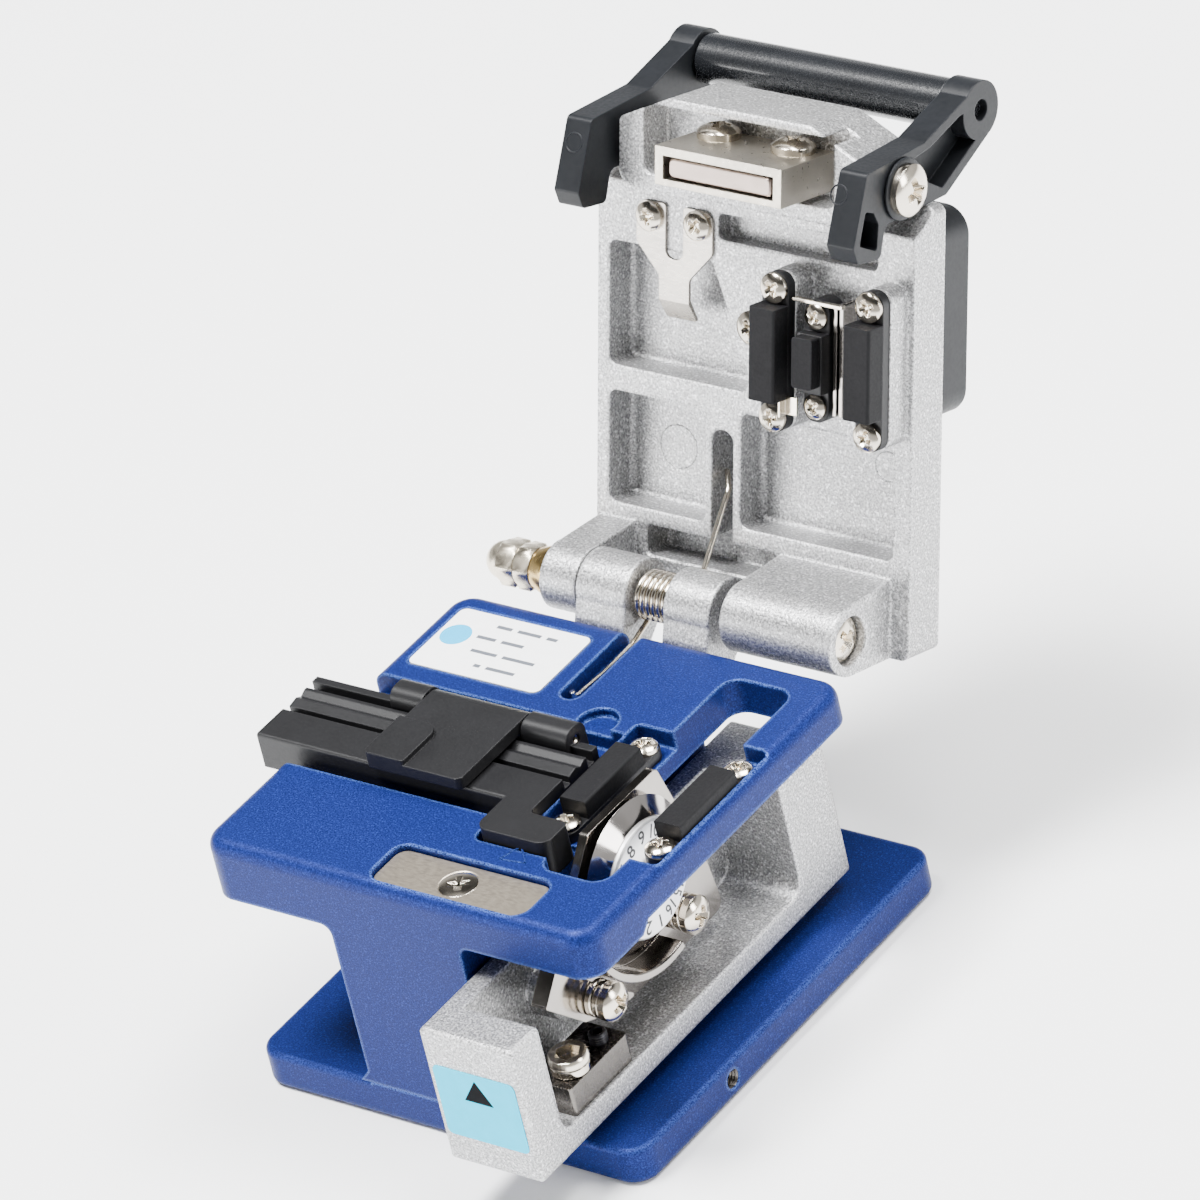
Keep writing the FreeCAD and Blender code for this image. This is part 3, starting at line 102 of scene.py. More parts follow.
FLOOR_REACH = 3
FLOOR_HEIGHT = -0.0002
floor_material, floor_tree, floor_shader, floor_place = new_material("floor_paper")
floor_tone = blend_colors(floor_tree, noise(floor_tree, floor_place, scale=40.0),
                          (0.93, 0.935, 0.94), (0.95, 0.953, 0.957))
floor_tree.links.new(floor_tone, floor_shader.inputs["Base Color"])
floor_shader.inputs["Roughness"].default_value = 0.9
floor_shader.inputs["Specular IOR Level"].default_value = 0.1
floor_mesh = bpy.data.meshes.new("floor")
floor_mesh.from_pydata([(x * FLOOR_REACH, y * FLOOR_REACH, FLOOR_HEIGHT)
                        for x, y in ((-1, -1), (1, -1), (1, 1), (-1, 1))], [], [(0, 1, 2, 3)])
floor = bpy.data.objects.new("floor", floor_mesh)
floor_mesh.materials.append(floor_material)
bpy.context.collection.objects.link(floor)

# The surroundings are pale round the horizon and overhead, with a dark ring between, so that polished faces
# have something dark to mirror. Each level stands at its share of the way up.
WORLD_STRENGTH = 0.8
world = bpy.data.worlds.new("studio")
world.use_nodes = True
world_tree = world.node_tree
world_place = world_tree.nodes.new("ShaderNodeTexCoord")
world_split = world_tree.nodes.new("ShaderNodeSeparateXYZ")
world_tree.links.new(world_place.outputs["Generated"], world_split.inputs["Vector"])
world_ramp = world_tree.nodes.new("ShaderNodeValToRGB")
world_levels = world_ramp.color_ramp.elements
world_levels[0].color = (0.55, 0.55, 0.56, 1)
world_levels[1].color = (0.9, 0.9, 0.9, 1)
for position, level in ((0.48, 0.9), (0.67, 0.95), (0.75, 0.06), (0.88, 0.06)):
    world_levels.new(position).color = (level, level, level, 1)
world_height = span(world_tree, world_split.outputs["Z"], -1.0, 1.0)
world_tree.links.new(world_height, world_ramp.inputs["Fac"])
world_tree.links.new(world_ramp.outputs["Color"], world_tree.nodes["Background"].inputs["Color"])
world_tree.nodes["Background"].inputs["Strength"].default_value = WORLD_STRENGTH
bpy.context.scene.world = world


def softbox(name, place, target, size, power):
    """Area light that looks at a point of the object."""
    data = bpy.data.lights.new(name, "AREA")
    data.shape = "RECTANGLE"
    data.size, data.size_y = size
    data.energy = power
    light = bpy.data.objects.new(name, data)
    light.location = place
    light.rotation_mode = "QUATERNION"
    light.rotation_quaternion = (Vector(target) - Vector(place)).to_track_quat("-Z", "Y")
    bpy.context.collection.objects.link(light)


softbox("key_light", (-0.30, -0.20, 1.25), target=(0, 0, 0.03), size=(0.45, 0.45), power=58.0)
softbox("top_light", (0.30, 0.40, 1.15), target=(0, 0, 0.03), size=(0.6, 0.6), power=28.0)
softbox("front_panel", (-0.75, -1.1, 0.15), target=(0, 0.03, 0.06), size=(0.9, 0.5), power=15.0)
softbox("right_panel", (1.2, 0.25, 0.45), target=(0, 0, 0.04), size=(0.4, 0.6), power=11.0)


# Body casting: base, column and platform are cast in one, shot-blasted and stoved in a blue metallic
# paint whose fine grain sparkles; its edges are painted lighter as a highlight. Everything else is screwed to
# it.
def edge_mask(tree, radius, low, high):
    """White near the object's edges, from how far a rounded normal leaves the true one."""
    rounded = tree.nodes.new("ShaderNodeBevel")
    rounded.samples = 4
    rounded.inputs["Radius"].default_value = radius
    geometry = tree.nodes.new("ShaderNodeNewGeometry")
    product = tree.nodes.new("ShaderNodeVectorMath")
    product.operation = "DOT_PRODUCT"
    tree.links.new(rounded.outputs["Normal"], product.inputs[0])
    tree.links.new(geometry.outputs["Normal"], product.inputs[1])
    return rounded.outputs["Normal"], span(tree, product.outputs["Value"], 1.0 - low, 1.0 - high)


def raise_grain(tree, height, strength, distance, normal):
    """Bump from a height, on top of the rounded normal."""
    bump = tree.nodes.new("ShaderNodeBump")
    bump.inputs["Strength"].default_value = strength
    bump.inputs["Distance"].default_value = distance
    tree.links.new(height, bump.inputs["Height"])
    tree.links.new(normal, bump.inputs["Normal"])
    return bump.outputs["Normal"]


def shaded(color, share):
    """Colour made darker or lighter by a share, and never more than white."""
    return tuple(min(1.0, part * share) for part in color)


def cast_paint(name, color, edge_highlight_color, fleck_color, metallic, roughness, grain=5200.0, bump=0.35, sheen=0.5):
    """Metallic paint on a cast skin: grain, flecks, and a painted highlight that lightens the edges."""
    material, tree, shader, place = new_material(name)
    rounded, edges = edge_mask(tree, radius=0.0007, low=0.01, high=0.15)
    fine = noise(tree, place, grain, detail=3.0)
    flecks = span(tree, noise(tree, place, grain * 0.8, detail=1.0), 0.58, 0.70)
    tone = blend_colors(tree, span(tree, fine, 0.42, 0.58), shaded(color, 0.5), color)
    tone = blend_colors(tree, flecks, tone, fleck_color)
    # Painted highlight: the edges, speckled by the grain, blend towards a lighter colour.
    painted_edge_highlight = tree.nodes.new("ShaderNodeMath")
    painted_edge_highlight.operation = "MULTIPLY"
    tree.links.new(edges, painted_edge_highlight.inputs[0])
    tree.links.new(span(tree, fine, 0.40, 0.56), painted_edge_highlight.inputs[1])
    tone = blend_colors(tree, painted_edge_highlight.outputs["Value"], tone, edge_highlight_color)
    tree.links.new(tone, shader.inputs["Base Color"])
    gloss = span(tree, fine, 0.3, 0.7, roughness - 0.08, roughness + 0.1)
    tree.links.new(gloss, shader.inputs["Roughness"])
    skin_normal = raise_grain(tree, fine, bump, distance=0.00006, normal=rounded)
    tree.links.new(skin_normal, shader.inputs["Normal"])
    shader.inputs["Metallic"].default_value = metallic
    shader.inputs["Specular IOR Level"].default_value = sheen
    return material


def dress(material, *nodes):
    """Give CAD nodes a finish."""
    for name in nodes:
        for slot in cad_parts[name].material_slots:
            slot.material = material


# The light blue edge colour is a painted highlight on the paint's edges.
blue_paint = cast_paint("blue_metallic_paint", (0.0085, 0.019, 0.128), edge_highlight_color=(0.10, 0.20, 0.62),
                        fleck_color=(0.014, 0.033, 0.20), metallic=0.30, roughness=0.40, sheen=0.10)
dress(blue_paint, "base_plate", "body_casting")

# Silver castings: lid, carriage and hinge bracket are cast in aluminium and sprayed with a coarse silver
# lacquer that glitters grain by grain. The lid hangs on the hinge screw, and ejector marks of its mould stay
# on the pocket floors. LID is the open lid's own frame: its hinge is the origin, and its depth runs to -Y.
# The near-white edge colour is a painted highlight on the lacquer's edges.
silver_paint = cast_paint("silver_cast_lacquer", (0.50, 0.50, 0.505), edge_highlight_color=(0.90, 0.90, 0.91),
                          fleck_color=(0.80, 0.80, 0.81), metallic=0.75, roughness=0.38, grain=3600.0,
                          bump=0.9)
dress(silver_paint, "lid_casting", "slider_carriage", "hinge_bracket")
MM = 0.001
HINGE_Y, HINGE_Z = 28.7, 38.57
OPEN_ANGLE = 109.5
POCKET_FLOOR = 13.0
MARK_SECTION = ((-0.14, 0.02), (-0.05, -0.06), (0.05, -0.06), (0.14, 0.02))
LID = (Matrix.Translation((0, HINGE_Y * MM, HINGE_Z * MM))
       @ Euler((math.radians(-OPEN_ANGLE), 0, 0)).to_matrix().to_4x4())


def show_piece(name, mesh, body, nodes, angle):
    """Show a mesh as a piece that rides on a CAD body, in place of the named nodes."""
    mesh.shade_smooth()
    mesh.set_sharp_from_angle(angle=math.radians(angle))
    piece = bpy.data.objects.new(name, mesh)
    bpy.context.collection.objects.link(piece)
    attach(piece, body)
    if nodes:
        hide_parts(*nodes)


def new_piece(name, shape, body, material, nodes=(), angle=35):
    """Make the shape a shaded piece of one material."""
    bmesh.ops.remove_doubles(shape, verts=shape.verts, dist=1e-7)
    bmesh.ops.recalc_face_normals(shape, faces=shape.faces)
    mesh = bpy.data.meshes.new(name)
    shape.to_mesh(mesh)
    shape.free()
    mesh.materials.append(material)
    show_piece(name, mesh, body, nodes, angle)


def spot(place, x, y, z):
    """Point of a frame given in millimetres, as metres of the scene."""
    return place @ Vector((x * MM, y * MM, z * MM))


def shifted(x, y, z):
    """Frame moved by millimetres."""
    return Matrix.Translation(Vector((x, y, z)) * MM)


def skin(shape, rows, closed=False):
    """Join rows of points by quads; closed rows meet again, and open ones get a cap at each end."""
    made = [[shape.verts.new(point) for point in row] for row in rows]
    for first, second in zip(made, made[1:] + (made[:1] if closed else [])):
        for index in range(len(first)):
            following = (index + 1) % len(first)
            shape.faces.new((first[index], first[following], second[following], second[index]))
    if not closed:
        shape.faces.new(made[0])
        shape.faces.new(made[-1])


def round_row(place, height, count, radius_at):
    """Points about the frame's Z at a height; the radius may change with the angle."""
    angles = [step * math.tau / count for step in range(count)]
    return [spot(place, radius_at(angle) * math.cos(angle), radius_at(angle) * math.sin(angle), height)
            for angle in angles]


def turned(shape, profile, place, count=64, closed=False):
    """Turned shape about the frame's Z: profile points are (radius, height) in millimetres."""
    skin(shape, [round_row(place, height, count, lambda angle: radius) for radius, height in profile], closed)


def prism(shape, corners, low, high, place):
    """Straight prism over a run of corners in the frame's XY plane."""
    skin(shape, [[spot(place, x, y, height) for x, y in corners] for height in (low, high)])


def wire(shape, path, radius, place, sides=12):
    """Round wire along a run of points in millimetres."""
    points = [Vector(point) for point in path]
    along = (points[1] - points[0]).normalized()
    across = along.orthogonal().normalized()
    rows = []
    for index, point in enumerate(points):
        before = points[max(index - 1, 0)]
        after = points[min(index + 1, len(points) - 1)]
        ahead = (after - before).normalized()
        across = along.rotation_difference(ahead) @ across
        along = ahead
        aside = along.cross(across)
        angles = [step * math.tau / sides for step in range(sides)]
        rows.append([spot(place, *(point + (across * math.cos(angle) + aside * math.sin(angle)) * radius))
                     for angle in angles])
    skin(shape, rows)


marks = bmesh.new()
for x, depth, radius in ((-9.2, 14.9, 2.8), (22.6, 18.3, 1.9), (2.05, 2.55, 2.3)):
    turned(marks, [(radius + side, height) for side, height in MARK_SECTION],
           LID @ shifted(x, -depth, POCKET_FLOOR), closed=True)
new_piece("lid_mould_marks", marks, "lid", silver_paint)


# Steel pieces: the blade's arm, the height block, the plates and the leaf spring are ground steel with a
# bright nickel plating that keeps the lines of the grinding wheel. The magnet bar is let into its holder, the
# clip sits by the anvil, and the arm with its guard lip is screwed to the carriage.
def plated_steel(name, color, roughness, grain=900.0, stretch=(1, 1, 1), lines=0.06, edge=0.00015, bump=0.12,
                 cloud=0.84):
    """Bright metal with drawn lines, rounded edges and a painted highlight that lightens them."""
    material, tree, shader, place = new_material(name)
    rounded, edges = edge_mask(tree, edge, low=0.03, high=0.25)
    drawn = noise(tree, place, grain, detail=4.0, stretch=stretch)
    broad = noise(tree, place, scale=220.0)
    tone = blend_colors(tree, span(tree, broad, 0.3, 0.7), color, shaded(color, cloud))
    # Painted highlight: the edges take a lighter copy of the colour.
    tone = blend_colors(tree, edges, tone, shaded(color, 1.3))
    tree.links.new(tone, shader.inputs["Base Color"])
    gloss = span(tree, drawn, 0.3, 0.7, roughness - lines, roughness + lines)
    tree.links.new(gloss, shader.inputs["Roughness"])
    ground_normal = raise_grain(tree, drawn, bump, distance=0.00002, normal=rounded)
    tree.links.new(ground_normal, shader.inputs["Normal"])
    shader.inputs["Metallic"].default_value = 1.0
    return material


ground_steel = plated_steel("ground_steel", (0.45, 0.42, 0.38), roughness=0.30, stretch=(1, 4, 4))
dress(ground_steel, "leaf_spring", "linear_rail", "rail_carriage")
satin_steel = plated_steel("satin_steel", (0.47, 0.415, 0.34), roughness=0.40, grain=1100.0,
                           stretch=(1, 3, 1), lines=0.03, bump=0.06, cloud=0.95)
dress(satin_steel, "steel_plate")
polished_steel = plated_steel("polished_steel", (0.36, 0.335, 0.31), roughness=0.14, grain=260.0)
dress(polished_steel, "steel_leaves")
block_steel = plated_steel("dark_ground_steel", (0.14, 0.13, 0.12), roughness=0.26, grain=1500.0)
dress(block_steel, "height_block")
holder_nickel = plated_steel("satin_nickel", (0.54, 0.50, 0.43), roughness=0.34, grain=1800.0,
                             lines=0.08, bump=0.15)
dress(holder_nickel, "magnet_holder")
magnet_steel = plated_steel("magnet_bar_steel", (0.38, 0.31, 0.275), roughness=0.34, grain=1400.0,
                            stretch=(0.3, 4, 4))
nickel = plated_steel("nickel_plate", (0.78, 0.71, 0.60), roughness=0.16, grain=500.0)


def rounded_corners(left, low, right, high, radius):
    """Corners of a rectangle with quarter rounds, counter-clockwise."""
    centres = ((right - radius, high - radius), (left + radius, high - radius),
               (left + radius, low + radius), (right - radius, low + radius))
    return [(x + radius * math.cos(math.radians(90 * turn + 15 * step)),
             y + radius * math.sin(math.radians(90 * turn + 15 * step)))
            for turn, (x, y) in enumerate(centres) for step in range(7)]


MAGNET_LEFT, MAGNET_RIGHT = -0.6, 15.1
MAGNET_FRONT, MAGNET_REAR = -56.8, -54.0
bar = bmesh.new()
skin(bar, [[spot(LID, x, y, height) for x, y in rounded_corners(
    MAGNET_LEFT + inset, MAGNET_FRONT + inset, MAGNET_RIGHT - inset, MAGNET_REAR - inset, radius=0.6)]
    for inset, height in ((0.2, 1.1), (0.2, -1.37), (0.4, -1.57))])
new_piece("magnet_bar", bar, "lid", magnet_steel, ("magnet",))
clip = bmesh.new()
prism(clip, [(14.3, -25.9), (16.0, -25.9), (16.0, -28.2), (14.3, -28.2)], 2.85, 3.1, LID)
prism(clip, [(14.05, -25.7), (14.3, -25.7), (14.3, -28.1), (14.05, -28.1)], 1.7, 3.1, LID)
prism(clip, [(14.6, -40.2), (22.0, -40.2), (22.0, -40.6), (14.6, -40.6)], 3.6, 4.4, LID)
new_piece("anvil_clip", clip, "lid", nickel)

# SIDE lays an outline of (y, z) points in the plane of the blade, with its heights along X.
SIDE = Matrix(((0, 0, 1, 0), (1, 0, 0, 0), (0, 1, 0, 0), (0, 0, 0, 1)))
BLADE_Y, BLADE_Z = -10.4, 28.8
ARM_BACK, ARM_FACE, LUG_FACE = 16.7, 17.9, 20.2
GUARD_OUTSIDE, GUARD_INSIDE = 12.85, 11.7
GUARD_START, GUARD_SWEEP, GUARD_STEPS = 205, 79, 40
ARM_OUTLINE = [(-29.6, 22.1, 1), (-18.9, 12.9, 1), (5.1, 12.9, 1.5), (3.6, 22.8, 1), (-1.1, 38.0, 1),
               (-15.4, 38.0, 1), (-24.0, 28.2, 1)]
LUG_OUTLINE = [(-25.0, 28.0, 0.2), (-28.6, 28.0, 0.4), (-32.0, 24.3, 0.4), (-25.9, 18.0, 0.4),
               (-20.2, 15.6, 0.4), (-16.0, 15.2, 0.3), (-21.0, 19.6, 0.4), (-24.4, 23.6, 0.4)]


def rounded_outline(corners, steps=6):
    """Closed outline with rounded corners; each corner is (x, y, radius)."""
    points = []
    for index, (x, y, radius) in enumerate(corners):
        corner = Vector((x, y))
        before = (Vector(corners[index - 1][:2]) - corner).normalized()
        after = (Vector(corners[(index + 1) % len(corners)][:2]) - corner).normalized()
        half = before.angle(after) / 2
        centre = corner + (before + after).normalized() * radius / math.sin(half)
        start = corner + before * radius / math.tan(half) - centre
        stop = corner + after * radius / math.tan(half) - centre
        points += [centre + start.lerp(stop, step / steps).normalized() * radius for step in range(steps + 1)]
    return points


def guard_outline(outer, inner):
    """Sector between two radii about the blade's axis."""
    sweep = [math.radians(GUARD_START + GUARD_SWEEP * step / GUARD_STEPS) for step in range(GUARD_STEPS + 1)]
    return [(radius * math.cos(angle) + BLADE_Y, radius * math.sin(angle) + BLADE_Z)
            for radius, angles in ((outer, sweep), (inner, sweep[::-1])) for angle in angles]


arm = bmesh.new()
prism(arm, rounded_outline(ARM_OUTLINE), ARM_BACK, ARM_FACE, SIDE)
prism(arm, rounded_outline(LUG_OUTLINE), ARM_FACE, LUG_FACE, SIDE)
skin(arm, [[spot(SIDE, y, z, x) for y, z in guard_outline(GUARD_OUTSIDE - inset, GUARD_INSIDE + inset)]
           for inset, x in ((0.0, 17.6), (0.0, 21.4), (0.18, 21.58))])
new_piece("plated_blade_arm", arm, "slider", polished_steel, ("blade_arm",))

# Screws: cross-recessed heads of nickel-plated steel, one size a place, driven into the castings. A node
# group lays a domed head with its cross on each point; every body's screws are one piece.
HEAD_HEIGHT = 0.6
RECESS_LENGTH, RECESS_WIDTH, RECESS_FLOOR = 0.76, 0.23, 0.22


def head_tree():
    """Node group of cross-recessed heads, 0.6 high and 1 in radius, on points that carry turn and size."""
    tree = bpy.data.node_groups.new("cross_heads", "GeometryNodeTree")
    identifiers = {}
    for name, kind in (("Geometry", "Geometry"), ("Finish", "Material"), ("Sides", "Int"),
                       ("Recess Length", "Float"), ("Recess Width", "Float"), ("Recess Floor", "Float")):
        socket = tree.interface.new_socket(name, in_out="INPUT", socket_type="NodeSocket" + kind)
        identifiers[name] = socket.identifier
    tree.interface.new_socket("Geometry", in_out="OUTPUT", socket_type="NodeSocketGeometry")
    group_in = tree.nodes.new("NodeGroupInput")
    group_out = tree.nodes.new("NodeGroupOutput")

    def node(kind, **values):
        """Node whose inputs have the given values; an underscore stands for a blank."""
        made = tree.nodes.new(kind)
        for name, value in values.items():
            made.inputs[name.replace("_", " ")].default_value = value
        return made

    def moved(mesh, **values):
        """Mesh moved, turned or scaled; a vector is a value or a socket."""
        made = tree.nodes.new("GeometryNodeTransform")
        for name, value in values.items():
            if isinstance(value, tuple):
                made.inputs[name].default_value = value
            else:
                tree.links.new(value, made.inputs[name])
        tree.links.new(mesh, made.inputs["Geometry"])
        return made.outputs["Geometry"]

    def vector(height=0.0, **sizes):
        """Vector whose parts come from the group's named inputs, save a fixed height."""
        made = node("ShaderNodeCombineXYZ", Z=height)
        for axis, name in sizes.items():
            tree.links.new(group_in.outputs[name], made.inputs[axis])
        return made.outputs["Vector"]

    rim = node("GeometryNodeMeshCylinder", Radius=1.0, Depth=1.0)
    tree.links.new(group_in.outputs["Sides"], rim.inputs["Vertices"])
    dome = node("GeometryNodeMeshUVSphere", Segments=56, Rings=28, Radius=1.0)
    pan = tree.nodes.new("GeometryNodeMeshBoolean")
    pan.operation = "INTERSECT"
    tree.links.new(moved(rim.outputs["Mesh"], Translation=(0, 0, 0.5)), pan.inputs["Mesh 2"])
    tree.links.new(moved(dome.outputs["Mesh"], Translation=(0, 0, -0.02), Scale=(1.16, 1.16, 0.62)),
                   pan.inputs["Mesh 2"])
    carved = tree.nodes.new("GeometryNodeMeshBoolean")
    carved.operation = "DIFFERENCE"
    tree.links.new(pan.outputs["Mesh"], carved.inputs["Mesh 1"])
    for turn in (0.0, math.pi / 2):
        wing = node("GeometryNodeMeshCone", Vertices=4, Radius_Top=1.45, Radius_Bottom=0.45, Depth=0.5)
        square = moved(wing.outputs["Mesh"], Translation=vector(Z="Recess Floor"),
                       Rotation=(0, 0, math.pi / 4))
        slot = moved(square, Rotation=(0, 0, turn), Scale=vector(1.0, X="Recess Length", Y="Recess Width"))
        tree.links.new(slot, carved.inputs["Mesh 2"])
    lay = tree.nodes.new("GeometryNodeInstanceOnPoints")
    tree.links.new(group_in.outputs["Geometry"], lay.inputs["Points"])
    tree.links.new(carved.outputs["Mesh"], lay.inputs["Instance"])
    for name, socket in (("turn", "Rotation"), ("size", "Scale")):
        reader = node("GeometryNodeInputNamedAttribute", Name=name)
        reader.data_type = "FLOAT_VECTOR"
        tree.links.new(reader.outputs["Attribute"], lay.inputs[socket])
    real = tree.nodes.new("GeometryNodeRealizeInstances")
    coat = tree.nodes.new("GeometryNodeSetMaterial")
    tree.links.new(lay.outputs["Instances"], real.inputs["Geometry"])
    tree.links.new(real.outputs["Geometry"], coat.inputs["Geometry"])
    tree.links.new(group_in.outputs["Finish"], coat.inputs["Material"])
    tree.links.new(coat.outputs["Geometry"], group_out.inputs["Geometry"])
    return tree, identifiers


cross_heads, head_inputs = head_tree()


def screw_heads(name, body, places, nodes):
    """Heads of one body; a place is (frame, x, y, z, tilt, radius, height, spin), in mm and degrees."""
    points = bpy.data.meshes.new(name + "_points")
    points.from_pydata([spot(frame_of, x, y, z) for frame_of, x, y, z, *_ in places], [], [])
    turn = points.attributes.new("turn", "FLOAT_VECTOR", "POINT")
    size = points.attributes.new("size", "FLOAT_VECTOR", "POINT")
    for index, (frame_of, x, y, z, tilt, radius, height, spin) in enumerate(places):
        tilted = Euler([math.radians(part) for part in tilt]).to_matrix()
        spun = Euler((0, 0, math.radians(spin))).to_matrix()
        turn.data[index].vector = (frame_of.to_3x3() @ tilted @ spun).to_euler()
        size.data[index].vector = (radius * MM, radius * MM, height / HEAD_HEIGHT * MM)
    carrier = bpy.data.objects.new(name + "_carrier", points)
    bpy.context.collection.objects.link(carrier)
    modifier = carrier.modifiers.new("heads", "NODES")
    modifier.node_group = cross_heads
    for socket, value in (("Finish", nickel), ("Sides", 48), ("Recess Length", RECESS_LENGTH),
                          ("Recess Width", RECESS_WIDTH), ("Recess Floor", RECESS_FLOOR)):
        modifier[head_inputs[socket]] = value
    seen = carrier.evaluated_get(bpy.context.evaluated_depsgraph_get())
    mesh = bpy.data.meshes.new_from_object(seen)
    bpy.data.objects.remove(carrier)
    show_piece(name, mesh, body, nodes, angle=28)


FLAT = Matrix.Identity(4)
UP, INWARD, FORWARD, RIGHT, LEFT = (0, 0, 0), (180, 0, 0), (90, 0, 0), (0, 90, 0), (0, -90, 0)
PAD_SCREW, PLATE_SCREW, COVER_SCREW, MAGNET_SCREW = (1.9, 1.1), (2.5, 0.4), (2.2, 1.3), (2.75, 1.85)
LOW_PAD_SEAT, HIGH_PAD_SEAT, LEAF_SEAT = 36.2, 3.15, 7.8
PIVOT_DEPTH, PIVOT_RISE = -55.84, 6.77
screw_heads("base_screw_heads", "base", [
    (FLAT, 12.4, 3.5, LOW_PAD_SEAT, UP, *PAD_SCREW, 20),
    (FLAT, 12.4, -12.8, LOW_PAD_SEAT, UP, *PAD_SCREW, 50),
    (FLAT, 26.5, 3.5, LOW_PAD_SEAT, UP, *PAD_SCREW, 65),
    (FLAT, 26.5, -12.8, LOW_PAD_SEAT, UP, *PAD_SCREW, 35),
    (FLAT, 7.0, -27.65, 36.25, UP, *PLATE_SCREW, 30)],
    ("lower_pad_screws_left", "lower_pad_screws_right", "steel_plate_screw"))
screw_heads("lid_screw_heads", "lid", [
    (LID, 12.4, -25.2, HIGH_PAD_SEAT, INWARD, *PAD_SCREW, 10),
    (LID, 12.4, -41.5, HIGH_PAD_SEAT, INWARD, *PAD_SCREW, 40),
    (LID, 26.5, -25.2, HIGH_PAD_SEAT, INWARD, *PAD_SCREW, 70),
    (LID, 26.5, -41.5, HIGH_PAD_SEAT, INWARD, *PAD_SCREW, 25),
    (LID, -10.0, -45.7, LEAF_SEAT, INWARD, *PAD_SCREW, 15),
    (LID, -2.7, -45.7, LEAF_SEAT, INWARD, *PAD_SCREW, 55),
    (LID, 5.6, -34.1, 8.2, INWARD, *COVER_SCREW, 30),
    (LID, 1.65, -58.0, 6.0, FORWARD, *MAGNET_SCREW, 20),
    (LID, 12.75, -58.0, 6.0, FORWARD, *MAGNET_SCREW, 75),
    (LID, 28.9, PIVOT_DEPTH, PIVOT_RISE, RIGHT, 3.25, 1.9, 25),
    (LID, -16.7, PIVOT_DEPTH, PIVOT_RISE, LEFT, 3.25, 2.3, 50),
    (LID, 24.4, 0, 0, RIGHT, 2.9, 1.8, 45)],
    ("upper_pad_screws_left", "upper_pad_screws_right", "leaf_screws", "lid_screw", "magnet_screws",
     "pivot_screw_left", "pivot_screw_right", "hinge_screw"))
screw_heads("anvil_screw_heads", "anvil", [
    (LID, 18.1, -27.3, 4.0, INWARD, 1.6, 1.0, 35), (LID, 18.1, -38.7, 4.0, INWARD, 1.6, 1.0, 60)],
    ("anvil_screws",))
screw_heads("arm_screw_heads", "slider", [
    (FLAT, 22.3, -23.3, 20.0, RIGHT, 2.5, 2.0, 20), (FLAT, 20.2, -3.5, 18.4, RIGHT, 2.5, 1.9, 60)],
    ("arm_screws",))
screw_heads("axle_screw_head", "blade", [(FLAT, 21.6, BLADE_Y, BLADE_Z, RIGHT, 2.8, 1.2, 15)],
            ("blade_axle_screw",))


# Spring washers: two rings of nickel-plated spring steel under each arm screw keep its setting. The front
# pair lies on the arm's lug, and the rear pair on the arm itself.
AXIS_X = Euler((0, math.radians(90), 0)).to_matrix().to_4x4()
RING_GAP, RING_PITCH = 0.12, 1.1
RING_SECTION = [(1.3, 0.0), (2.25, 0.0), (2.4, 0.15), (2.4, 0.75), (2.25, 0.9), (1.3, 0.9)]
rings = bmesh.new()
for y, z, seat in ((-23.3, 20.0, 20.15), (-3.5, 18.4, 17.9)):
    for ring in range(2):
        turned(rings, RING_SECTION, shifted(seat + RING_GAP + ring * RING_PITCH, y, z) @ AXIS_X, closed=True)
new_piece("spring_washer_rings", rings, "slider", nickel, ("spring_washers",))


# Casting details: the base's side hole is tapped for an accessory's screw, and a small raised triangle on
# the platform shows where the bare fibre's end goes. Both are part of the body casting.
HOLE_MOUTH, HOLE_END = 29.3, 23.6
HALF_PITCH, HALF_TURNS = 0.225, 26
RIDGE_HALF = 0.12
PLATFORM_TOP = 37.3
TRIANGLE = [Vector((10.74, -19.49)), Vector((9.63, -22.56)), Vector((13.28, -22.11))]
tapped = bmesh.new()
thread = [(1.28, HOLE_MOUTH), (1.28, HOLE_END)] + [
    (1.22 if half % 2 else 1.0, HOLE_END + HALF_PITCH * half) for half in range(HALF_TURNS)]
turned(tapped, thread, shifted(0, -13, 2.5) @ AXIS_X, count=40, closed=True)
new_piece("tapped_side_hole", tapped, "base", block_steel)
pointer = bmesh.new()
for first, second in zip(TRIANGLE, TRIANGLE[1:] + TRIANGLE[:1]):
    aside = (second - first).orthogonal().normalized() * RIDGE_HALF
    prism(pointer, [first + aside, second + aside, second - aside, first - aside],
          PLATFORM_TOP - 0.05, PLATFORM_TOP + 0.07, FLAT)
new_piece("platform_pointer", pointer, "base", blue_paint)


# Blade: a hardened disc with a lapped bevel up to its rim, behind a satin dial. The dial's sixteen plain
# numbers tell which part of the edge is in use; the axle screw clamps both on the arm.
DIAL_NUMBERS = 16
DIAL_STEP = 360 / DIAL_NUMBERS
TOP_NUMBER, TOP_ANGLE = 9, 89.4
DIGIT_SIZE, DIGIT_BOLD, DIGIT_THICK = 2.5, 0.035, 0.012
DIGIT_RADIUS, DIGIT_FACE = 6.05, 21.61
BLADE_PROFILE = [(1.55, 18.0), (4.0, 18.0), (4.0, 18.6), (9.0, 18.6), (10.0, 19.3), (7.72, 20.9),
                 (1.55, 20.9)]
DIAL_PROFILE = [(1.55, 20.9), (7.6, 20.9), (7.6, 21.35), (7.35, 21.6), (1.55, 21.6)]
lapped_steel = plated_steel("lapped_blade_steel", (0.50, 0.47, 0.45), roughness=0.10, grain=260.0,
                            edge=0.00005)
disc = bmesh.new()
blade_place = shifted(0, BLADE_Y, BLADE_Z) @ AXIS_X
turned(disc, BLADE_PROFILE, blade_place, count=160, closed=True)
new_piece("blade_lapped_disc", disc, "blade", lapped_steel, ("blade_disc",), angle=12)
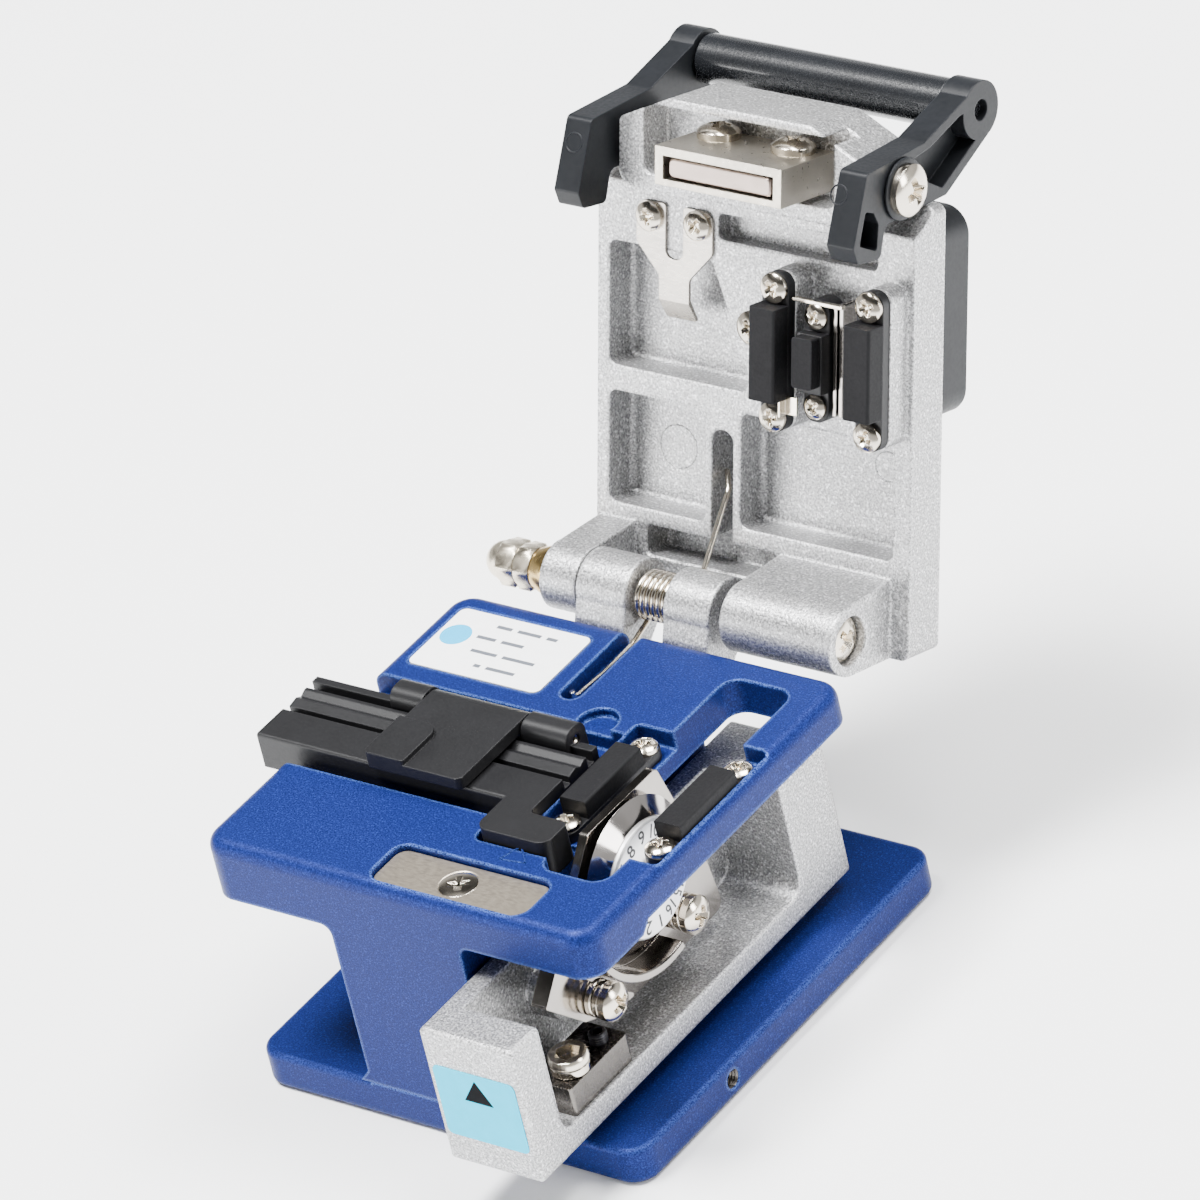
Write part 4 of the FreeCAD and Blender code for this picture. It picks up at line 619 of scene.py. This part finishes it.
dial_satin = plated_steel("satin_dial", (0.80, 0.80, 0.81), roughness=0.42, grain=2200.0)
ink, ink_tree, ink_shader, ink_place = new_material("printed_ink")
ink_tree.links.new(span(ink_tree, noise(ink_tree, ink_place, scale=3000.0), 0.3, 0.7, 0.4, 0.55),
                   ink_shader.inputs["Roughness"])
ink_shader.inputs["Base Color"].default_value = (0.012, 0.012, 0.014, 1.0)
dial = bmesh.new()
turned(dial, DIAL_PROFILE, blade_place, count=128, closed=True)
new_piece("blade_number_dial", dial, "blade", dial_satin, ("blade_dial",))
digits = bmesh.new()
for number in range(1, DIAL_NUMBERS + 1):
    angle = math.radians(TOP_ANGLE + (TOP_NUMBER - number) * DIAL_STEP)
    text = bpy.data.curves.new("digit", "FONT")
    text.body = str(number)
    text.size = DIGIT_SIZE * MM
    text.offset = DIGIT_BOLD * MM
    text.extrude = DIGIT_THICK * MM
    text.align_x = "CENTER"
    text.align_y = "CENTER"
    written = bpy.data.objects.new("digit", text)
    bpy.context.collection.objects.link(written)
    flat_mesh = bpy.data.meshes.new_from_object(written.evaluated_get(bpy.context.evaluated_depsgraph_get()))
    bpy.data.objects.remove(written)
    outward = Vector((0, math.cos(angle), math.sin(angle)))
    across = outward.cross(Vector((1, 0, 0)))
    place = Matrix((across * (0.8 if number > 9 else 1.0), outward, (1, 0, 0))).transposed().to_4x4()
    place.translation = Vector((DIGIT_FACE, BLADE_Y, BLADE_Z)) * MM + outward * DIGIT_RADIUS * MM
    flat_mesh.transform(place)
    digits.from_mesh(flat_mesh)
new_piece("dial_numbers", digits, "blade", ink)


# Height block's screws: a socket cap screw with a turned head, and a black grub screw beside it, both
# with hexagon sockets; they set and lock how high the blade stands.
def hexagon_radius(corner, angle):
    """Radius of a hexagon at an angle, from its radius at the corners."""
    return corner * math.cos(math.pi / 6) / math.cos(angle % (math.tau / 6) - math.pi / 6)


def socket_head(name, place, profile, socket, depth, material, nodes):
    """Turned head whose top ring steps down into a hexagon socket."""
    shape = bmesh.new()
    count = 48
    top = profile[-1][1]
    rows = [round_row(place, height, count, lambda angle: radius) for radius, height in profile]
    rows += [round_row(place, height, count, lambda angle: hexagon_radius(socket, angle))
             for height in (top, top - depth)]
    skin(shape, rows)
    new_piece(name, shape, "slider", material, nodes)


BLOCK_SCREW_X, BLOCK_TOP = 20.55, 14.6
CAP_PROFILE = [(2.2, 0.0), (2.5, 0.2), (2.5, 1.1), (2.36, 1.25), (2.36, 1.35), (2.62, 1.5), (2.62, 2.1),
               (2.35, 2.5), (1.9, 2.5)]
GRUB_PROFILE = [(1.2, -2.0), (1.2, 0.15), (1.02, 0.3), (1.2, 0.45), (1.02, 0.6), (1.2, 0.75), (1.02, 0.95),
                (1.2, 1.15), (1.0, 1.4)]
black_steel = plated_steel("blackened_steel", (0.05, 0.05, 0.055), roughness=0.32)
socket_head("cap_screw_head", shifted(BLOCK_SCREW_X, -30.6, BLOCK_TOP), CAP_PROFILE, socket=1.62, depth=1.3,
            material=nickel, nodes=("cap_screw",))
socket_head("grub_screw_head", shifted(BLOCK_SCREW_X, -24.8, BLOCK_TOP), GRUB_PROFILE, socket=0.72, depth=1.0,
            material=black_steel, nodes=("grub_screw",))


# Hinge hardware: the long hinge screw ends in a brass washer, a lock nut and a domed cap nut; round its
# middle a torsion spring, wound of bright wire, leans one leg on the platform and one on the lid.
HINGE = LID @ AXIS_X
WASHER_SECTION = [(1.6, -20.8), (2.7, -20.8), (3.4, -18.7), (3.4, -17.95), (3.25, -17.8), (1.6, -17.8)]
NUT_CORNER, NUT_ROUND, NUT_FACE, NUT_BEVEL, NUT_SIDES = 3.18, 3.2, 2.75, 0.32, 48
DOME_FOOT, DOME_START, DOME_RADIUS, DOME_RISE = -26.05, -26.2, 2.55, 2.6
WIRE_RADIUS, COIL_RADIUS = 0.37, 2.9
COIL_LEFT, COIL_LENGTH, COIL_TURNS, TURN_STEPS = -4.0, 4.9, 6, 36
brass = plated_steel("turned_brass", (0.66, 0.47, 0.20), roughness=0.22, stretch=(8, 1, 1))
washer = bmesh.new()
turned(washer, WASHER_SECTION, HINGE, closed=True)
new_piece("brass_hinge_washer", washer, "lid", brass, ("hinge_washer",))
nuts = bmesh.new()
for low, high in ((-23.3, -20.9), (-26.1, -23.4)):
    skin(nuts, [round_row(HINGE, height, NUT_SIDES,
                          lambda angle: min(hexagon_radius(NUT_CORNER, angle), limit))
                for height, limit in ((high, NUT_FACE), (high - NUT_BEVEL, NUT_ROUND),
                                      (low + NUT_BEVEL, NUT_ROUND), (low, NUT_FACE))])
dome_angles = [math.radians(part * 9) for part in range(10)]
turned(nuts, [(2.6, DOME_FOOT)] + [(DOME_RADIUS * math.cos(angle), DOME_START - DOME_RISE * math.sin(angle))
                                   for angle in dome_angles], HINGE)
nut_nickel = plated_steel("nut_nickel", (0.80, 0.72, 0.58), roughness=0.27, grain=500.0, cloud=0.94)
new_piece("hinge_nuts", nuts, "lid", nut_nickel, ("lock_nut", "cap_nut"))
coil_steps = COIL_TURNS * TURN_STEPS
loops = []
for step in range(coil_steps + 1):
    angle = -step * math.tau / TURN_STEPS - math.pi / 2
    loops.append((COIL_LEFT + COIL_LENGTH * step / coil_steps, HINGE_Y + COIL_RADIUS * math.cos(angle),
                  HINGE_Z + COIL_RADIUS * math.sin(angle)))
platform_leg = [(-3.1, 10.1, 36.6), (-3.1, 10.1, 35.9), (-2.9, 10.6, 35.67), (-2.5, 16.0, 35.67),
                (-2.6, 22.0, 35.67), (-3.9, 27.6, 35.67)]
coil = bmesh.new()
wire(coil, platform_leg + loops, WIRE_RADIUS, FLAT)
new_piece("wound_torsion_spring", coil, "base", nickel, ("torsion_spring",))
lid_leg = bmesh.new()
wire(lid_leg, [(0.9, 1.2, 2.6), (0.6, -1.5, 4.2), (0.5, -3.0, 5.4), (1.3, -11.8, 8.9), (1.2, -12.3, 9.3),
               (-0.4, -13.9, 11.2)], WIRE_RADIUS, LID)
new_piece("spring_leg_on_lid", lid_leg, "lid", nickel, ("spring_lid_leg",))


# Black pieces: the holder and the pad bases are anodised, the lever's arms and the cover moulded, the pads
# faced with rubber, and the glossy roller turns on a shaft between the arms.
def black_finish(name, color, roughness, grain, bump, sheen=0.3, coat=0.0):
    """Dark skin with a fine grain and rounded edges, painted slightly lighter as a highlight."""
    material, tree, shader, place = new_material(name)
    rounded, edges = edge_mask(tree, radius=0.00025, low=0.03, high=0.25)
    fine = noise(tree, place, grain, detail=3.0)
    broad = noise(tree, place, scale=180.0)
    tone = blend_colors(tree, span(tree, broad, 0.3, 0.7), color, shaded(color, 0.75))
    # Painted highlight: the edges take a lighter copy of the colour.
    tone = blend_colors(tree, edges, tone, shaded(color, 2.2))
    tree.links.new(tone, shader.inputs["Base Color"])
    gloss = span(tree, fine, 0.3, 0.7, roughness - 0.06, roughness + 0.06)
    tree.links.new(gloss, shader.inputs["Roughness"])
    grained_normal = raise_grain(tree, fine, bump, distance=0.00003, normal=rounded)
    tree.links.new(grained_normal, shader.inputs["Normal"])
    shader.inputs["Specular IOR Level"].default_value = sheen
    shader.inputs["Coat Weight"].default_value = coat
    shader.inputs["Coat Roughness"].default_value = 0.1
    return material


anodised = black_finish("black_anodised", (0.007, 0.007, 0.008), roughness=0.42, grain=4200.0, bump=0.3)
dress(anodised, "fibre_holder", "holder_clamp", "lower_pad_base_left", "lower_pad_base_right",
      "upper_pad_base_left", "upper_pad_base_right", "anvil_holder")
rubber = black_finish("pad_rubber", (0.006, 0.006, 0.007), roughness=0.58, grain=2600.0, bump=0.9,
                      sheen=0.14)
dress(rubber, "lower_rubber_left", "lower_rubber_right", "upper_rubber_left", "upper_rubber_right",
      "anvil_pad")
moulded = black_finish("moulded_black", (0.009, 0.010, 0.012), roughness=0.40, grain=2200.0, bump=0.2,
                       sheen=0.2)
dress(moulded, "lever_arm_right", "lever_arm_left", "lid_back_cover")
gloss_black = black_finish("gloss_black", (0.010, 0.011, 0.013), roughness=0.26, grain=4200.0, bump=0.05,
                           sheen=0.5, coat=0.4)
dress(gloss_black, "roller_shaft")
ROLLER_Y, ROLLER_Z = 71.322, 89.422
BARREL_SECTION = [(1.35, -12.6), (3.05, -12.6), (3.2, -12.45), (3.2, 23.95), (3.05, 24.1), (1.35, 24.1)]
PIVOT_SECTION = [(1.8, 28.45), (3.7, 28.45), (3.85, 28.55), (3.85, 28.75), (3.7, 28.85), (1.8, 28.85)]
LEVER_FACING = Vector((0, -0.8078, 0.5895))
GATE_SECTION = [(1.08, 0.0), (1.16, 0.07), (1.24, 0.07), (1.32, 0.0), (1.24, -0.05), (1.16, -0.05)]
HOLDER_PIN_Y, HOLDER_PIN_Z = -0.8, 39.0
PIN_SECTION = [(0.3, 5.6), (0.55, 5.75), (0.7, 5.7), (0.7, -19.8), (0.3, -19.8)]
barrel = bmesh.new()
turned(barrel, BARREL_SECTION, shifted(0, ROLLER_Y, ROLLER_Z) @ AXIS_X, count=96, closed=True)
new_piece("gloss_roller", barrel, "roller", gloss_black, ("roller",))
ring = bmesh.new()
turned(ring, PIVOT_SECTION, LID @ shifted(0, PIVOT_DEPTH, PIVOT_RISE) @ AXIS_X, closed=True)
new_piece("pivot_washer_ring", ring, "lid", moulded)
gate_marks = bmesh.new()
facing = LEVER_FACING.to_track_quat("Z", "Y").to_matrix().to_4x4()
for x, y, z in ((24.86, 46.23, 92.02), (-14.87, 46.16, 91.93)):
    turned(gate_marks, GATE_SECTION, shifted(x, y, z) @ facing, count=40, closed=True)
new_piece("lever_mould_marks", gate_marks, "lever", moulded)
pin = bmesh.new()
turned(pin, PIN_SECTION, shifted(0, HOLDER_PIN_Y, HOLDER_PIN_Z) @ AXIS_X, count=32, closed=True)
new_piece("hinge_pin_tube", pin, "base", nickel, ("holder_hinge_pin",))


# Label and sticker: a white plate glued in the platform's recess, with a cyan spot and grey bars, and a cyan
# sticker on the carriage's push face with an arrow that points along the stroke. All are printed film.
def film(name, color, roughness, gloss=0.2):
    """Printed film with a faint mottle."""
    material, tree, shader, place = new_material(name)
    broad = noise(tree, place, scale=700.0)
    tone = blend_colors(tree, span(tree, broad, 0.3, 0.7), color, shaded(color, 0.95))
    tree.links.new(tone, shader.inputs["Base Color"])
    matt = span(tree, broad, 0.3, 0.7, roughness - 0.05, roughness + 0.05)
    tree.links.new(matt, shader.inputs["Roughness"])
    shader.inputs["Specular IOR Level"].default_value = gloss
    return material


# FRONT lays an outline of (x, z) points in the carriage's front plane, with its heights towards -Y.
FRONT = Euler((math.radians(90), 0, 0)).to_matrix().to_4x4()
STICKER_LEFT, STICKER_RIGHT, STICKER_LOW, STICKER_HIGH = 10.5, 22.7, 11.4, 21.7
STICKER_ROUND, STICKER_BACK, STICKER_FACE = 0.8, 43.08, 43.21
ARROW_BACK, ARROW_FACE = 43.20, 43.235
PRINT_BACK, PRINT_FACE = PLATFORM_TOP - 0.005, PLATFORM_TOP + 0.01
BAR_HALF, BAR_GAP = 0.3, 0.9
dress(film("white_label_film", (0.97, 0.98, 0.99), roughness=0.4), "label_plate")
sticker = bmesh.new()
prism(sticker, rounded_outline([(x, z, STICKER_ROUND) for x, z in (
    (STICKER_LEFT, STICKER_LOW), (STICKER_RIGHT, STICKER_LOW),
    (STICKER_RIGHT, STICKER_HIGH), (STICKER_LEFT, STICKER_HIGH))]), STICKER_BACK, STICKER_FACE, FRONT)
cyan_film = film("cyan_sticker_film", (0.0, 0.58, 0.86), roughness=0.5, gloss=0.04)
new_piece("cyan_sticker", sticker, "slider", cyan_film, ("slider_sticker",))
label_spot = bmesh.new()
turned(label_spot, [(2.1, PRINT_BACK), (2.1, PRINT_FACE)], shifted(-24.1, 14.4, 0))
cyan_ink = film("cyan_label_ink", (0.0, 0.40, 0.72), roughness=0.5, gloss=0.04)
new_piece("label_spot", label_spot, "base", cyan_ink)
bars = bmesh.new()
for y, left, lengths in ((17.6, -19.9, (2.3, 3.6, 1.6)), (15.0, -21.2, (2.9, 3.4)),
                         (12.3, -20.2, (4.0, 4.9)), (9.7, -17.9, (1.0, 4.4))):
    for length in lengths:
        prism(bars, [(left, y - BAR_HALF), (left + length, y - BAR_HALF),
                     (left + length, y + BAR_HALF), (left, y + BAR_HALF)], PRINT_BACK, PRINT_FACE, FLAT)
        left += length + BAR_GAP
grey_ink = film("grey_label_ink", (0.10, 0.11, 0.13), roughness=0.5)
new_piece("label_bars", bars, "base", grey_ink)
arrow = bmesh.new()
prism(arrow, [(14.5, 17.45), (18.8, 17.45), (16.65, 20.75)], ARROW_BACK, ARROW_FACE, FRONT)
arrow_ink = film("sticker_arrow_ink", (0.004, 0.004, 0.005), roughness=0.6, gloss=0.04)
new_piece("sticker_arrow", arrow, "slider", arrow_ink)
